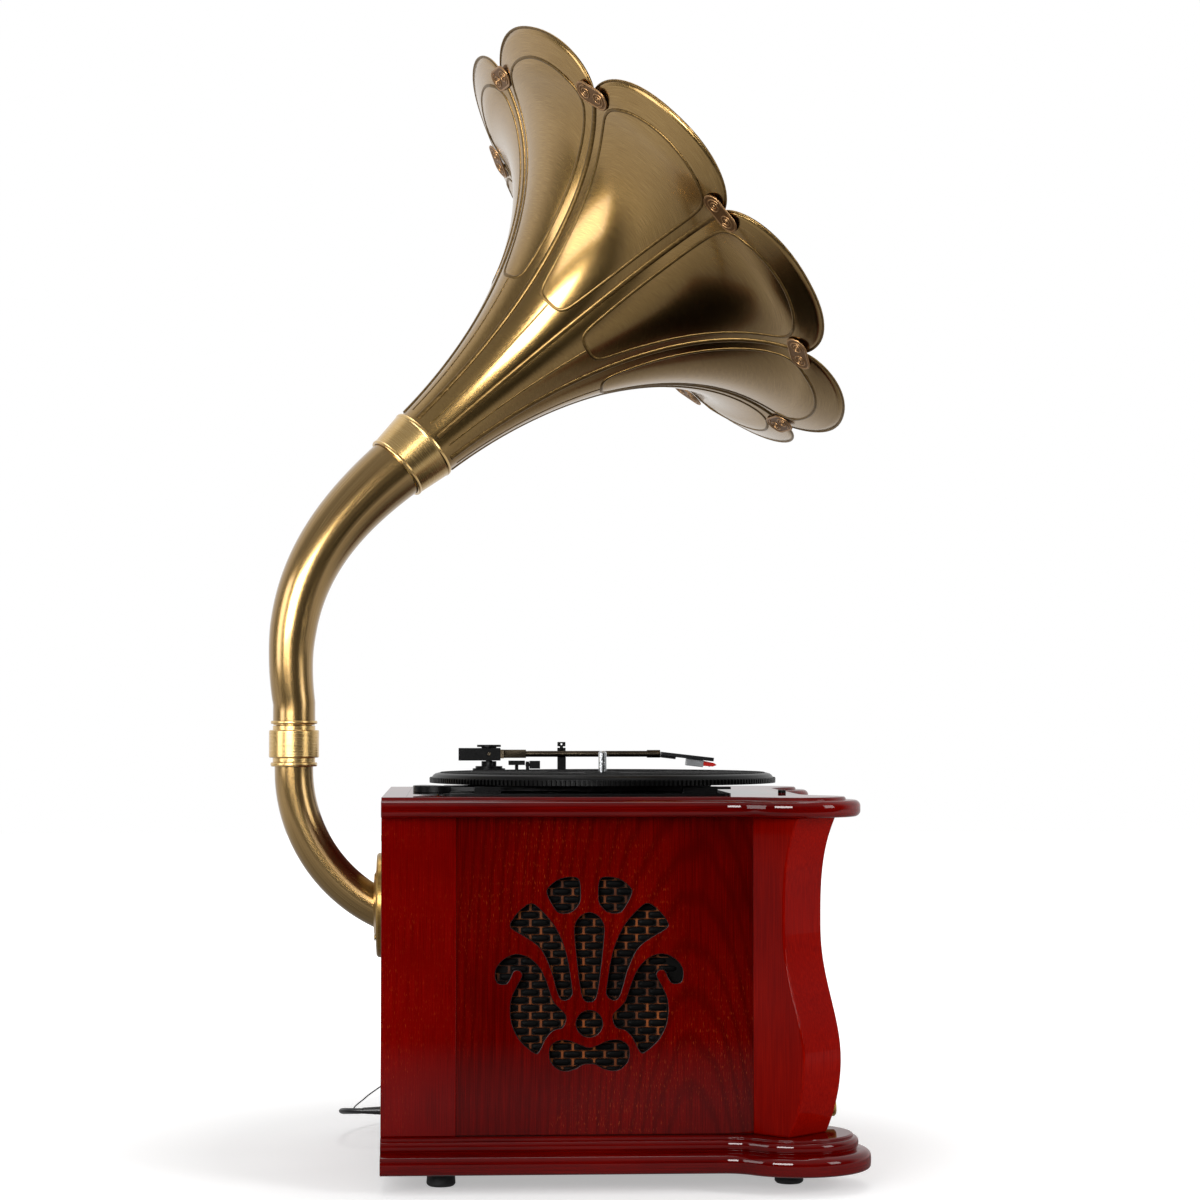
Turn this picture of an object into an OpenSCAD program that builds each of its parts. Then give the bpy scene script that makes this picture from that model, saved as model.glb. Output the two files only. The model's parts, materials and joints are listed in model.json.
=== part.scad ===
// Table gramophone of the retro electric kind: belt driven turntable on a veneered
// cabinet, with an eight petal horn on a swivelling neck. Millimetres, Z up, X to the front.

/* [Cabinet] */
// Depth from the rear face to the front panel
body_d = 339; // [320:1:370]
// Width across the side panels
body_w = 364; // [350:1:390]
// Height of the walls between base and top
wall_h = 258; // [240:1:290]
// Thickness of the side, back and front panels
panel_t = 9; // [6:0.5:12]
// Width of each rear stile
stile_w = 61; // [40:1:80]
// Depth of each rear stile, measured inward from its face
stile_t = 20; // [14:1:26]
// How far the stiles stand proud of the side panels
stile_proud = 2; // [1:0.5:4]
// Diameter of each rubber foot
foot_d = 24; // [16:1:34]
// Height of each rubber foot
foot_h = 15; // [8:1:24]
// Thickness of the bottom board
bottom_t = 10; // [6:1:14]

/* [Base and top outline] */
// How far the base stands out beyond the side panels
base_out = 23.5; // [20:0.5:30]
// How far the base stands out beyond the front panel
base_front_out = 32.5; // [26:0.5:40]
// Radius of the round lobe under each corner post
lobe_r = 61; // [54:1:68]
// Distance of a lobe's centre inside the side panel's face
lobe_in = 11.5; // [6:0.5:16]
// Distance of a lobe's centre forward of the front panel's face
lobe_forward = 0.5; // [-4:0.5:6]
// Radius of the hollow curve that leads into a lobe
hollow_r = 30; // [20:1:40]
// Height of the base moulding
base_h = 28.5; // [26:0.5:34]
// Thickness of the top board, with its raised bead
top_t = 16.2; // [14:0.2:20]
// How far the top's nose lies inside the base's nose
top_in = 7.5; // [4:0.5:10]
// Width of the moulded frame round the top
top_frame = 18.5; // [15:0.5:22]

/* [Corner posts] */
// Thickness of each corner post across its flat sides
post_w = 50; // [40:1:56]
// Projection beyond the body's corner at the waist
post_waist = 6.3; // [4:0.1:12]
// Projection at the belly
post_belly = 26.8; // [18:0.1:30]
// Projection at the head
post_head = 22; // [14:0.5:26]
// Projection at the foot
post_foot = 11.3; // [6:0.1:16]

/* [Grille] */
// Height of the grille's centre above the floor
grille_z = 173.9; // [165:0.5:185]
// Distance of the grille's centre from the rear face
grille_x = 169.3; // [160:0.5:180]
// Thickness of the grille cloth
cloth_t = 1.2; // [0.8:0.1:2]
// Outer radius of each loudspeaker's frame
speaker_r = 62; // [50:1:68]

/* [Turntable] */
// Distance of the spindle from the rear face
spindle_x = 187.8; // [180:0.5:200]
// Distance of the spindle from the cabinet's middle, to the right
spindle_right = 35; // [28:0.5:42]
// Radius of the record spindle
spindle_r = 3.6; // [3.5:0.05:3.65]
// Height of the spindle above the platter mat
spindle_h = 18.2; // [14:0.2:24]
// Outer radius of the platter
platter_r = 150; // [140:1:152]
// Height of the platter from its toothed rim to its top
platter_h = 9.2; // [8:0.1:13]
// Thickness of the mat
mat_t = 1.5; // [1:0.1:3]
// Radius of the driven drum under the platter
drum_r = 93; // [80:1:105]
// Length of the deck plate, front to back
deck_l = 238; // [230:1:250]
// Width of the deck plate
deck_w = 326; // [320:1:340]
// Height of the deck plate above the wood
deck_t = 2.2; // [1.6:0.2:4]
// Radius of the motor pulley
pulley_r = 6; // [4:0.5:8]
// Thickness of the drive belt
belt_t = 0.9; // [0.6:0.1:1.4]
// Height of the drive belt
belt_h = 4; // [3:0.5:4.5]

/* [Tone arm] */
// Distance of the arm's upright pivot from the rear face
arm_x = 91.3; // [85:0.5:97]
// Distance of the arm's upright pivot from the middle, to the left
arm_left = 119; // [114:1:126]
// Height of the arm tube's axis above the deck plate
arm_h = 29.4; // [29:0.1:34]
// Downward slope of the head
head_dip = 6.5; // [4:0.5:7]
// Diameter of the arm tube
arm_d = 5.6; // [4:0.2:7]
// Distance from the pivot to the front end of the tube
arm_l = 158; // [150:1:165]
// Distance from the pivot to the arm rest
rest_l = 67; // [62:1:72]

/* [Horn] */
// Radius of the lower tube
tube_r = 16.9; // [14:0.1:18]
// Wall of the brass tubes
tube_t = 1.5; // [1:0.1:2.5]
// Distance of the swivel's axis behind the rear face
swivel_back = 81; // [76:1:90]
// Height of the swivel joint's foot above the floor
swivel_z = 339.9; // [330:0.5:350]
// Radius of the lower tube's bend
bend_r = 136; // [131:1:141]
// Angle of the lower tube's bend
bend_a = 60; // [58.5:0.5:62.5]
// Outer radius of the swivel's broad band
swivel_r = 21.9; // [21:0.1:26]
// Distance of the neck's upper end ahead of the swivel's axis
neck_reach = 91.2; // [86:0.2:96]
// Height of the neck's upper end above the swivel's foot
neck_h = 264.1; // [256:0.1:272]
// Angle by which the horn is turned to the left
horn_turn = 15.8; // [0:0.1:30]
// Elevation of the horn's axis
horn_rise = 41.4; // [38:0.1:46]
// Length of the collar that joins neck and horn
collar_l = 35; // [30:1:40]
// Length from the collar to the rim clips, along the axis
bell_l = 278; // [260:1:300]
// Radius of the bell at the collar
throat_r = 32.5; // [30:0.5:36]
// Radius of the bell at the rim clips
mouth_r = 206.5; // [196:0.5:214]
// How far each petal reaches beyond the clips
petal_out = 37.3; // [25:0.1:42]
// How far each petal bulges between its seams
petal_crown = 3.1; // [2:0.1:8]
// Angle between the petal tips and the horn's axis
petal_lean = 64; // [58:1:72]
// Thickness of the sheet brass
sheet_t = 1.2; // [1:0.1:1.6]

/* [Controls] */
// Diameter of each front knob
knob_d = 18; // [14:1:19]
// Length of each front knob
knob_l = 34; // [24:1:38]
// Height of the knobs' axes above the floor
knob_z = 56; // [56:1:70]
// Distance of each knob from the cabinet's middle
knob_y = 120; // [90:1:126]
// Height of the control fascia
fascia_h = 23; // [20:1:24]
// Thickness of the control fascia
fascia_t = 6; // [4:0.5:9]

/* [Leads] */
// Diameter of the mains lead
lead_d = 4.4; // [4.2:0.1:4.6]
// Diameter of the aerial wire
wire_d = 1.2; // [1:0.1:1.3]

/* [Hidden] */
$fn = 64;

// Place of the whole object's middle, measured from the rear face and the cabinet's middle
origin_x = 153;
origin_y = 46;
// Clearance between fixed pieces, between moving pieces and in a shaft's bearing
gap = 0.3;
move_gap = 0.5;
run_gap = 0.05;

half_w = body_w / 2;
floor_z = foot_h;
wall_z = foot_h + base_h;
top_z0 = wall_z + wall_h;
top_z = top_z0 + top_t;
side_y = half_w + base_out;
front_x = body_d + base_front_out;
lobe_x = body_d + lobe_forward;
lobe_y = half_w - lobe_in;
base_rail = 50;
rear_rail = 20;
top_inner = top_in + top_frame;
stile_y = half_w + stile_proud;

deck_x0 = spindle_x - 138;
deck_x1 = deck_x0 + deck_l;
deck_y0 = -deck_w / 2;
deck_z = top_z + deck_t;
deck_r = 8;
tub_in = 10;
tub_wall = 3;
tub_depth = 12;
spindle_y = -spindle_right;
rim_z = deck_z + 6.5;
mat_z = rim_z + platter_h;
rim_t = 3.6;
drum_z = deck_z + 0.8;
shaft_r = 4;
bearing_r = 9;
bearing_drop = 20;
motor_x = spindle_x - 142;
motor_y = spindle_y - 85;
motor_r = 13;
motor_h = 22;
motor_shaft_r = 1;
cover_r = 21;
cover_top = rim_z - 0.4;
belt_z = drum_z + 0.6;

arm_y = arm_left;
arm_z = deck_z + arm_h;
pivot_pin_r = 1.5;
turret_r = 3;
turret_foot = arm_z - 6.1;

post_in = panel_t * sqrt(2) + post_w / 2;
post_top = wall_h;
waist_z = 170;
belly_z = 61;

fascia_z0 = knob_z - fascia_h / 2;
fascia_y = 134;
shaft_knob_r = 3;

bend_x = bend_r - swivel_back;
horn_arc_z = swivel_z - 2.4;

// Points on an arc round c, from angle a0 to angle a1
function arc(c, r, a0, a1, n) =
  [for (i = [0:n]) let (a = a0 + (a1 - a0) * i / n) c + r * [cos(a), sin(a)]];

// Left half of the plan of base and top, drawn in by i, with its rear end at x
function half_plan(i, x) =
  let (
    reach = lobe_r + hollow_r,
    c = [lobe_x, lobe_y],
    fy = side_y + hollow_r,
    fx = lobe_x - sqrt(reach * reach - (fy - lobe_y) * (fy - lobe_y)),
    gx = front_x + hollow_r,
    gy = lobe_y - sqrt(reach * reach - (gx - lobe_x) * (gx - lobe_x)),
    a1 = atan2(fy - lobe_y, fx - lobe_x),
    a2 = atan2(gy - lobe_y, gx - lobe_x)
  )
  concat(
    [[x, side_y - i]],
    arc([fx, fy], hollow_r + i, -90, a1 - 180, 6),
    [for (k = [1:15]) let (a = a1 + (a2 - a1) * k / 16) c + (lobe_r - i) * [cos(a), sin(a)]],
    arc([gx, gy], hollow_r + i, a2 + 180, 180, 6)
  );

function mirrored(p) = [for (k = [len(p) - 1:-1:0]) [p[k][0], -p[k][1]]];
function plan(i, x = 0) = concat(half_plan(i, x), mirrored(half_plan(i, x)));

// Closed moulding: each profile point is [inset, height, rear x], swept round the plan
module moulding(profile) {
  n = len(plan(0));
  m = len(profile);
  points = [for (p = profile) for (q = plan(p[0], p[2])) [q[0], q[1], p[1]]];
  faces = [for (k = [0:m - 1]) for (j = [0:n - 1]) for (half = [0:1])
    let (a = k * n + j, b = k * n + (j + 1) % n, c = ((k + 1) % m) * n + (j + 1) % n,
      d = ((k + 1) % m) * n + j)
    half == 0 ? [a, b, c] : [a, c, d]];
  polyhedron(points = points, faces = faces, convexity = 6);
}

// A closed smooth line through the points p, with n steps between them
function smooth_loop(p, n) =
  let (m = len(p))
  [for (i = [0:m - 1]) for (j = [0:n - 1])
    let (t = j / n, a = p[(i + m - 1) % m], b = p[i], c = p[(i + 1) % m], d = p[(i + 2) % m])
    0.5 * (2 * b + (c - a) * t + (2 * a - 5 * b + 4 * c - d) * t * t
      + (3 * b - a - 3 * c + d) * t * t * t)];

// An open smooth line through the points p, with n steps between them
function smooth_path(p, n) =
  let (m = len(p))
  concat([for (i = [0:m - 2]) for (j = [0:n - 1])
    let (t = j / n, a = p[max(i - 1, 0)], b = p[i], c = p[i + 1], d = p[min(i + 2, m - 1)])
    0.5 * (2 * b + (c - a) * t + (2 * a - 5 * b + 4 * c - d) * t * t
      + (3 * b - a - 3 * c + d) * t * t * t)], [p[m - 1]]);

function unit(v) = v / norm(v);
function tangent(p, i) = unit(p[min(i + 1, len(p) - 1)] - p[max(i - 1, 0)]);

// A round tube with closed ends along a path that is never upright
module tube(path, r, sides, first, last) {
  n = len(path);
  points = [for (i = [0:n - 1])
    let (t = i == 0 ? unit(first) : i == n - 1 ? unit(last) : tangent(path, i),
      across = unit(cross([0, 0, 1], t)), over = cross(t, across))
    for (k = [0:sides - 1]) let (a = 360 * (k + 0.5) / sides)
      path[i] + r * (cos(a) * across + sin(a) * over)];
  walls = [for (i = [0:n - 2]) for (k = [0:sides - 1]) for (half = [0:1])
    let (a = i * sides + k, b = i * sides + (k + 1) % sides, c = b + sides, d = a + sides)
    half == 0 ? [a, c, b] : [a, d, c]];
  caps = [for (k = [1:sides - 2]) for (end = [0:1])
    let (s = (n - 1) * sides)
    end == 0 ? [0, k, k + 1] : [s, s + k + 1, s + k]];
  polyhedron(points = points, faces = concat(walls, caps), convexity = 10);
}

// Piled coil in two layers: in from the outside, up half a turn, and out again
function coil_path(c, r_in, pitch, turns, a0, way, rise, steps) =
  let (
    n = ceil(turns * steps),
    h = ceil(steps / 2),
    r_out = r_in + pitch * turns,
    a_in = a0 + way * 360 * turns,
    inward = [for (k = [0:n]) let (t = k / n, a = a0 + way * 360 * turns * t)
      c + [(r_out - pitch * turns * t) * cos(a), (r_out - pitch * turns * t) * sin(a), 0]],
    climb = [for (k = [1:h - 1]) let (t = k / h, a = a_in + way * 180 * t)
      c + [r_in * cos(a), r_in * sin(a), rise * (1 - cos(180 * t)) / 2]],
    outward = [for (k = [0:n]) let (t = k / n, a = a_in + way * (180 + 360 * turns * t))
      c + [(r_in + pitch * turns * t) * cos(a), (r_in + pitch * turns * t) * sin(a), rise]]
  )
  concat(inward, climb, outward);

// Least distance between the centre lines of two stretches of a path more than skip apart
function least_gap(p, skip, d) =
  min([for (i = [0:2:len(p) - 1]) for (j = [i + skip:len(p) - 1]) norm(p[i] - p[j])]) - d;

// Mains lead: from the gland at the rear, round the corner and into its coil
lead_r = lead_d / 2;
gland_y = 60;
gland_z = 31.7;
gland_l = 22;
lead_floor = lead_r + 0.1;
coil_mid = [60, 264, lead_floor];
coil_in = 17.2;
coil_pitch = lead_d + 1.25;
coil_turns = 3.375;
coil_rise = lead_d + 0.6;
coil_out = coil_in + coil_pitch * coil_turns;
lead_end = coil_mid + [-coil_out, 0, 0];
lead_points = [[-gland_l, gland_y, gland_z], [-28.5, 62, 31.6], [-34.5, 67.5, 31], [-39, 76, 30],
  [-41.6, 88, 28], [-42.2, 101, 25.9], [-42, 114, 23.8], [-40.6, 128, 21.7], [-38, 142.5, 19.7],
  [-34, 157, 17.7], [-28.8, 171, 15.8], [-22.6, 185, 14], [-15.4, 198.5, 12.2],
  [-7.4, 210.5, 9.6], [1.2, 221.5, 6.6], [9.8, 232, 3.9], [17, 243, lead_floor],
  [21.6, 253.5, lead_floor], lead_end];
lead_path = smooth_path(lead_points, 3);
lead_coil = coil_path(coil_mid, coil_in, coil_pitch, coil_turns, 180, -1, coil_rise, 24);
plug_at = coil_mid + [0, coil_out, coil_rise];
plug_in = [plug_at[0] + 5 * lead_d, plug_at[1], plug_at[2]];
coil_line = concat(lead_coil, [(plug_at + plug_in) / 2, plug_in]);
plug_l = 40;
plug_w = 25;
plug_t = 13.6;

// Aerial wire: from the back panel to the floor and into a small coil
wire_r = wire_d / 2;
wire_floor = wire_r + 0.1;
aerial_mid = [128, 229, wire_floor];
aerial_in = 8;
aerial_pitch = wire_d + 0.8;
aerial_turns = 3;
aerial_rise = wire_d + 0.6;
aerial_out = aerial_in + aerial_pitch * aerial_turns;
wire_end = aerial_mid + [0, -aerial_out, 0];
wire_points = [[-0.4, 60, 56.8], [-6, 60, 53], [-11.7, 60.4, 49], [-17.1, 62, 44.9],
  [-22.5, 66, 39.9], [-27.4, 73.4, 35.2], [-30.6, 84, 30.6], [-30.8, 97, 27], [-28.6, 111, 24.1],
  [-25.2, 126, 21.8], [-21, 142, 19.6], [-16.2, 157.5, 17.4], [-12, 172, 14.8], [-8.6, 186, 11.4],
  [-4.2, 199.5, 7], [3.2, 210.4, 3], [15, 216, wire_floor], [32, 217.6, wire_floor],
  [54, 217.4, wire_floor], [78, 216.4, wire_floor], [102, 215.4, wire_floor], wire_end];
wire_path = smooth_path(wire_points, 4);
wire_coil = coil_path(aerial_mid, aerial_in, aerial_pitch, aerial_turns, -90, 1, aerial_rise, 24);

echo(lead_gap = least_gap(lead_coil, 14, lead_d), wire_gap = least_gap(wire_coil, 14, wire_d));

// Everything is drawn from the rear face, the middle and the floor, then set down on its origin
module set_down() {
  translate([-origin_x, -origin_y, 0]) children();
}

module both_sides() {
  children();
  mirror([0, 1, 0]) children();
}

module rubber_feet() {
  inset = 49;
  set_down() color("#151515") for (x = [inset, lobe_x - 4.5]) both_sides()
    translate([x, lobe_y - 13, 0]) rotate_extrude() polygon([[0, 0], [foot_d / 2 - 2, 0],
      [foot_d / 2, 2], [foot_d / 2 - 1, foot_h], [0, foot_h]]);
}

// Rounded skirt, groove, bead and ledge of the base
base_profile = [[3, 0, 0], [0.8, 1.2, 0], [0, 3.5, 0], [0, 10.5, 0], [1.4, 13.6, 0], [4.4, 15.6, 0],
  [9.5, 16.4, 0], [11.4, 17.2, 0], [10.4, 19, 0], [10.4, 23, 0], [11.8, 25.2, 0],
  [14.6, 26, 0], [14.6, 27.6, 0], [16, base_h, 0], [base_rail, base_h, rear_rail],
  [base_rail, 0, rear_rail]];
module base_moulding() {
  set_down() color("#7a0c08") translate([0, 0, floor_z]) moulding(base_profile);
}

module bottom_board() {
  set_down() color("#9a7a52") translate([0, 0, wall_z - bottom_t]) linear_extrude(bottom_t)
    offset(delta = -gap) polygon(plan(base_rail, rear_rail));
}

// Nose, cove and raised bead of the top
nose_r = 5;
nose_h = top_t - 2.6;
top_profile = concat(
  [for (a = [-90:30:0]) [top_in + nose_r * (1 - cos(a)), nose_r + nose_r * sin(a), 0]],
  [for (a = [0:30:90]) [top_in + nose_r * (1 - cos(a)), nose_h - nose_r + nose_r * sin(a), 0]],
  [[top_in + 11.8, nose_h + 0.2, 0], [top_in + 12.2, nose_h + 1.6, 0], [top_in + 13.2, top_t, 0],
   [top_inner, top_t, rear_rail], [top_inner, 0, rear_rail]]);
module top_moulding() {
  set_down() color("#7a0c08") translate([0, 0, top_z0]) moulding(top_profile);
}

// Deck plate's outline, drawn in by i, with a round ear under the motor's cover
module deck_outline(i) {
  offset(r = deck_r - i) translate([deck_x0 + deck_r, deck_y0 + deck_r])
    square([deck_l - 2 * deck_r, deck_w - 2 * deck_r]);
}

module deck_tub(i) {
  translate([deck_x0 + tub_in + i, deck_y0 + tub_in + i])
    square([deck_l - 2 * (tub_in + i), deck_w - 2 * (tub_in + i)]);
}

module top_panel() {
  set_down() color("#7a0c08") translate([0, 0, top_z0]) difference() {
    linear_extrude(top_t) polygon(plan(top_inner + 0.02, rear_rail + 0.02));
    translate([0, 0, -1]) linear_extrude(top_t + 2) deck_tub(-1);
    translate([motor_x, motor_y, -1]) cylinder(r = motor_r + 3, h = top_t + 2);
    translate([power_x, power_y, top_t - power_deep - power_travel - gap])
      cylinder(r = power_r + run_gap, h = top_t);
  }
}

// Serpentine face of a corner post, as [projection, height]
function serpent(z) =
  z > waist_z ? post_waist + (post_head - post_waist) * pow((z - waist_z) / (wall_h - waist_z), 3)
  : z > belly_z ? post_waist + (post_belly - post_waist)
    * (1 - cos(180 * pow((waist_z - z) / (waist_z - belly_z), 1.12))) / 2
  : post_belly - (post_belly - post_foot) * pow((belly_z - z) / belly_z, 2);

module corner_posts() {
  steps = 44;
  side = concat([[-post_in, 0]], [for (k = [0:steps]) let (z = wall_h * k / steps) [serpent(z), z]],
    [[-post_in, wall_h]]);
  set_down() color("#8a1208") both_sides() translate([body_d, -half_w, wall_z])
    rotate([0, 0, -45]) translate([0, post_w / 2, 0]) rotate([90, 0, 0])
    linear_extrude(post_w) polygon(side);
}

// Where a panel meets the flat side of a corner post
post_side = post_w / 2 * sqrt(2);

module rear_stiles() {
  set_down() color("#6e0a06") translate([0, 0, wall_z]) both_sides()
    translate([0, -stile_y, 0]) cube([stile_w, stile_t, wall_h]);
}

module back_panel() {
  w = 2 * (stile_y - stile_t) - 2 * gap / 10;
  set_down() color("#6e0a06") difference() {
    translate([0, -w / 2, wall_z]) cube([panel_t, w, wall_h]);
    elbow_bend(tube_r + gap, bend_past);
    for (a = [45:90:315]) translate([0, screw_ring * cos(a), flange_z + screw_ring * sin(a)])
      rotate([0, 90, 0]) cylinder(r = 2 + run_gap, h = 4 * panel_t, center = true);
    translate([-1, socket_y - socket_w / 2 - gap, socket_z - socket_h / 2 - gap])
      cube([panel_t + 2, socket_w + 2 * gap, socket_h + 2 * gap]);
  }
}

// Palmette of the side grilles, right of its middle, in millimetres from its centre
leaf_top = [[12.8, 78.3], [8.4, 75.2], [7.6, 63.2], [9, 56.6], [15, 50.6], [23.8, 49.8],
  [28.7, 54.4], [34.2, 65.4], [32.5, 70.8], [23.8, 76.9]];
leaf_upper = [[48.4, 56.8], [41.3, 53.3], [28.1, 38], [19.4, 17.2], [15, -8], [14.5, -16.8],
  [19.4, -20.9], [23.8, -18.9], [27, -10.2], [30.3, 1.9], [36.9, 17.2], [43.5, 24.9],
  [53.3, 31.4], [63.7, 38], [62.6, 43.5], [56.6, 51.1]];
leaf_scroll = [[75.8, -4.7], [75.8, 4.1], [69.8, 11.7], [59.9, 15.9], [48.9, 12.8], [40.2, 4.1],
  [34.7, -8], [30.3, -21.1], [26, -26.6], [20.5, -32.1], [19.4, -36.5], [22.1, -43],
  [29.2, -45.2], [35.8, -51.8], [41.3, -62.7], [45.7, -62.7], [56.6, -52.9], [63.2, -38.7],
  [63.7, -22.2], [58.8, -10.2], [54.4, -1.4], [56.6, 3], [61.5, 3], [64.3, -2.5],
  [67.6, -7.4], [73, -7.4]];
leaf_centre = [[0, 49.5], [7.2, 46.6], [11.6, 39], [11.4, 28], [9.6, 10], [7.4, -8],
  [5.4, -18], [3, -21.6], [0, -22.3], [-3, -21.6], [-5.4, -18], [-7.4, -8], [-9.6, 10],
  [-11.4, 28], [-11.6, 39], [-7.2, 46.6]];
leaf_foot = [[0, -60.2], [8, -57.6], [16, -54.4], [24, -54], [30.6, -57.6], [32.4, -65],
  [29.4, -73.4], [21.6, -78], [12, -76.6], [5, -72.8], [-5, -72.8], [-12, -76.6],
  [-21.6, -78], [-29.4, -73.4], [-32.4, -65], [-30.6, -57.6], [-24, -54], [-16, -54.4],
  [-8, -57.6]];
bud_z = -40.3;
bud_r = 10.6;

module palmette() {
  for (leaf = [leaf_top, leaf_upper, leaf_scroll]) {
    polygon(smooth_loop(leaf, 3));
    mirror([1, 0]) polygon(smooth_loop(leaf, 3));
  }
  polygon(smooth_loop(leaf_centre, 3));
  polygon(smooth_loop(leaf_foot, 3));
  translate([0, bud_z]) circle(bud_r);
}

module side_panel() {
  y0 = -half_w;
  x1 = body_d - post_side;
  difference() {
    translate([0, 0, wall_z]) linear_extrude(wall_h) polygon([[stile_w, y0], [x1, y0],
      [x1 - panel_t, y0 + panel_t], [stile_w, y0 + panel_t]]);
    translate([grille_x, y0 + panel_t + 1, grille_z]) rotate([90, 0, 0])
      linear_extrude(panel_t + 2) palmette();
  }
}

module side_panel_right() {
  set_down() color("#6e0a06") side_panel();
}

module side_panel_left() {
  set_down() color("#6e0a06") mirror([0, 1, 0]) side_panel();
}

module front_panel() {
  y1 = half_w - post_side;
  set_down() color("#6e0a06") difference() {
    translate([0, 0, wall_z]) linear_extrude(wall_h) polygon([[body_d, -y1], [body_d, y1],
      [body_d - panel_t, y1 - panel_t], [body_d - panel_t, -y1 + panel_t]]);
    for (y = [-knob_y, knob_y]) translate([body_d - panel_t - 1, y, knob_z]) rotate([0, 90, 0])
      cylinder(r = shaft_knob_r + 2, h = panel_t + 2);
    translate([body_d - panel_t - 1, -mode_w / 2 - 1, mode_z - mode_h / 2 - 1])
      cube([panel_t + 2, mode_w + 2, mode_h + 2]);
  }
}

module grille_cloths() {
  w = 160;
  h = 166;
  set_down() color("#5a3a20") both_sides()
    translate([grille_x - w / 2, -half_w + panel_t + 0.02, grille_z - h / 2]) cube([w, cloth_t, h]);
}

// Loudspeakers face the grilles; z runs inward from the cloth
speaker_y = half_w - panel_t - cloth_t - 0.04;
module at_speakers() {
  both_sides() translate([grille_x, -speaker_y, grille_z]) rotate([-90, 0, 0]) children();
}

cone_r = speaker_r - 8;
module speaker_frames() {
  set_down() color("#2b2b2b") at_speakers() rotate_extrude() polygon([[cone_r + 0.6, 0],
    [speaker_r, 0], [speaker_r, 2.5], [cone_r, 4], [26, 30], [26, 44], [0, 44], [0, 32],
    [22, 32], [22, 28], [cone_r - 3, 3.4], [cone_r + 0.6, 2]]);
}

module speaker_cones() {
  set_down() color("#1c1c1c") at_speakers() rotate_extrude() polygon([[0, 16], [14, 18],
    [cone_r - 5, 2], [cone_r, 0.6], [cone_r, 1.6], [cone_r - 4, 3], [15, 22], [0, 20]]);
}

module amplifier_board() {
  board = [90, 70, 1.6];
  set_down() color("#1f6b35") translate([body_d / 2 + 10.5, -board[1] / 2 - 20, wall_z + 6]) {
    cube(board);
    for (x = [4, board[0] - 8]) for (y = [4, board[1] - 8]) translate([x, y, -6]) cube([4, 4, 6.1]);
    translate([10, 12, 1.5]) cube([30, 12, 22]);
    for (k = [0:2]) translate([55 + 11 * (k % 2), 18 + 17 * k, 1.5]) cylinder(d = 9, h = 14, $fn = 24);
  }
}

module transformer() {
  core = [44, 36, 38];
  set_down() color("#4a4a4c") translate([90, 40, wall_z]) {
    cube(core);
    translate([-9, 6, 0]) cube([core[0] + 18, core[1] - 12, 3]);
    translate([6, -7, 8]) cube([core[0] - 12, core[1] + 14, core[2] - 16]);
  }
}

socket_y = -84;
socket_z = 90;
socket_w = 66;
socket_h = 30;
module rear_socket_plate() {
  t = 2;
  cup = 8;
  set_down() color("#141414") difference() {
    union() {
      translate([0.6, socket_y - socket_w / 2, socket_z - socket_h / 2]) cube([t, socket_w, socket_h]);
      for (y = [-19, 0, 19]) translate([0.6, socket_y + y, socket_z]) rotate([0, 90, 0])
        cylinder(r = 6.4, h = cup + t);
    }
    for (y = [-19, 0, 19]) translate([0, socket_y + y, socket_z]) rotate([0, 90, 0]) difference() {
      cylinder(r = 4.6, h = cup);
      if (y != 0) cylinder(r = 3.2, h = cup + 1);
    }
    for (y = [-19, 19]) translate([0, socket_y + y, socket_z]) rotate([0, 90, 0])
      cylinder(r = 1.6, h = cup - 1);
  }
}

module cord_gland() {
  set_down() color("#101010") translate([0, gland_y, gland_z]) rotate([0, -90, 0])
    rotate_extrude() polygon([[0, 0], [4.6, 0], [4.6, 1.2], [3.9, 2], [lead_r + 0.5, gland_l],
      [0, gland_l]]);
}

module screw(d, h) {
  cylinder(d1 = d, d2 = d * 0.6, h = h, $fn = 32);
}

module cabinet_screws() {
  set_down() color("#b9a26a") {
    for (z = [wall_z + 18, wall_z + wall_h - 18]) both_sides() for (y = [70, stile_y - stile_t - 10])
      translate([0, y, z]) rotate([0, -90, 0]) screw(8, 0.9);
    for (y = [-28, 28]) translate([0.6, socket_y + y, socket_z]) rotate([0, -90, 0]) screw(5, 1.2);
  }
}

mode_w = 14;
mode_h = 7;
mode_z = knob_z;
module control_fascia() {
  set_down() color("#c2a25a") difference() {
    translate([body_d, -fascia_y, fascia_z0]) cube([fascia_t, 2 * fascia_y, fascia_h]);
    for (y = [-knob_y, knob_y]) translate([body_d - 1, y, knob_z]) rotate([0, 90, 0])
      cylinder(r = shaft_knob_r + run_gap, h = fascia_t + 2);
    translate([body_d - 1, -mode_w / 2 - gap, mode_z - mode_h / 2 - gap])
      cube([fascia_t + 2, mode_w + 2 * gap, mode_h + 2 * gap]);
  }
}

module knob(y) {
  translate([body_d + fascia_t, y, knob_z]) rotate([0, 90, 0]) {
    translate([0, 0, -fascia_t - 4]) cylinder(r = shaft_knob_r, h = fascia_t + 8);
    difference() {
      rotate_extrude() polygon([[0, move_gap], [knob_d / 2, move_gap], [knob_d / 2, 3],
        [knob_d / 2 - 1.5, 4.5], [knob_d / 2 - 2, knob_l - 1.6], [knob_d / 2 - 3.6, knob_l],
        [0, knob_l]]);
      translate([knob_d / 2 - 5.6, 0, knob_l]) cube([5, 1.2, 1.6], center = true);
    }
  }
}

module volume_knob() {
  set_down() color("#c9a85c") knob(-knob_y);
}

module tuning_knob() {
  set_down() color("#c9a85c") knob(knob_y);
}

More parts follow.
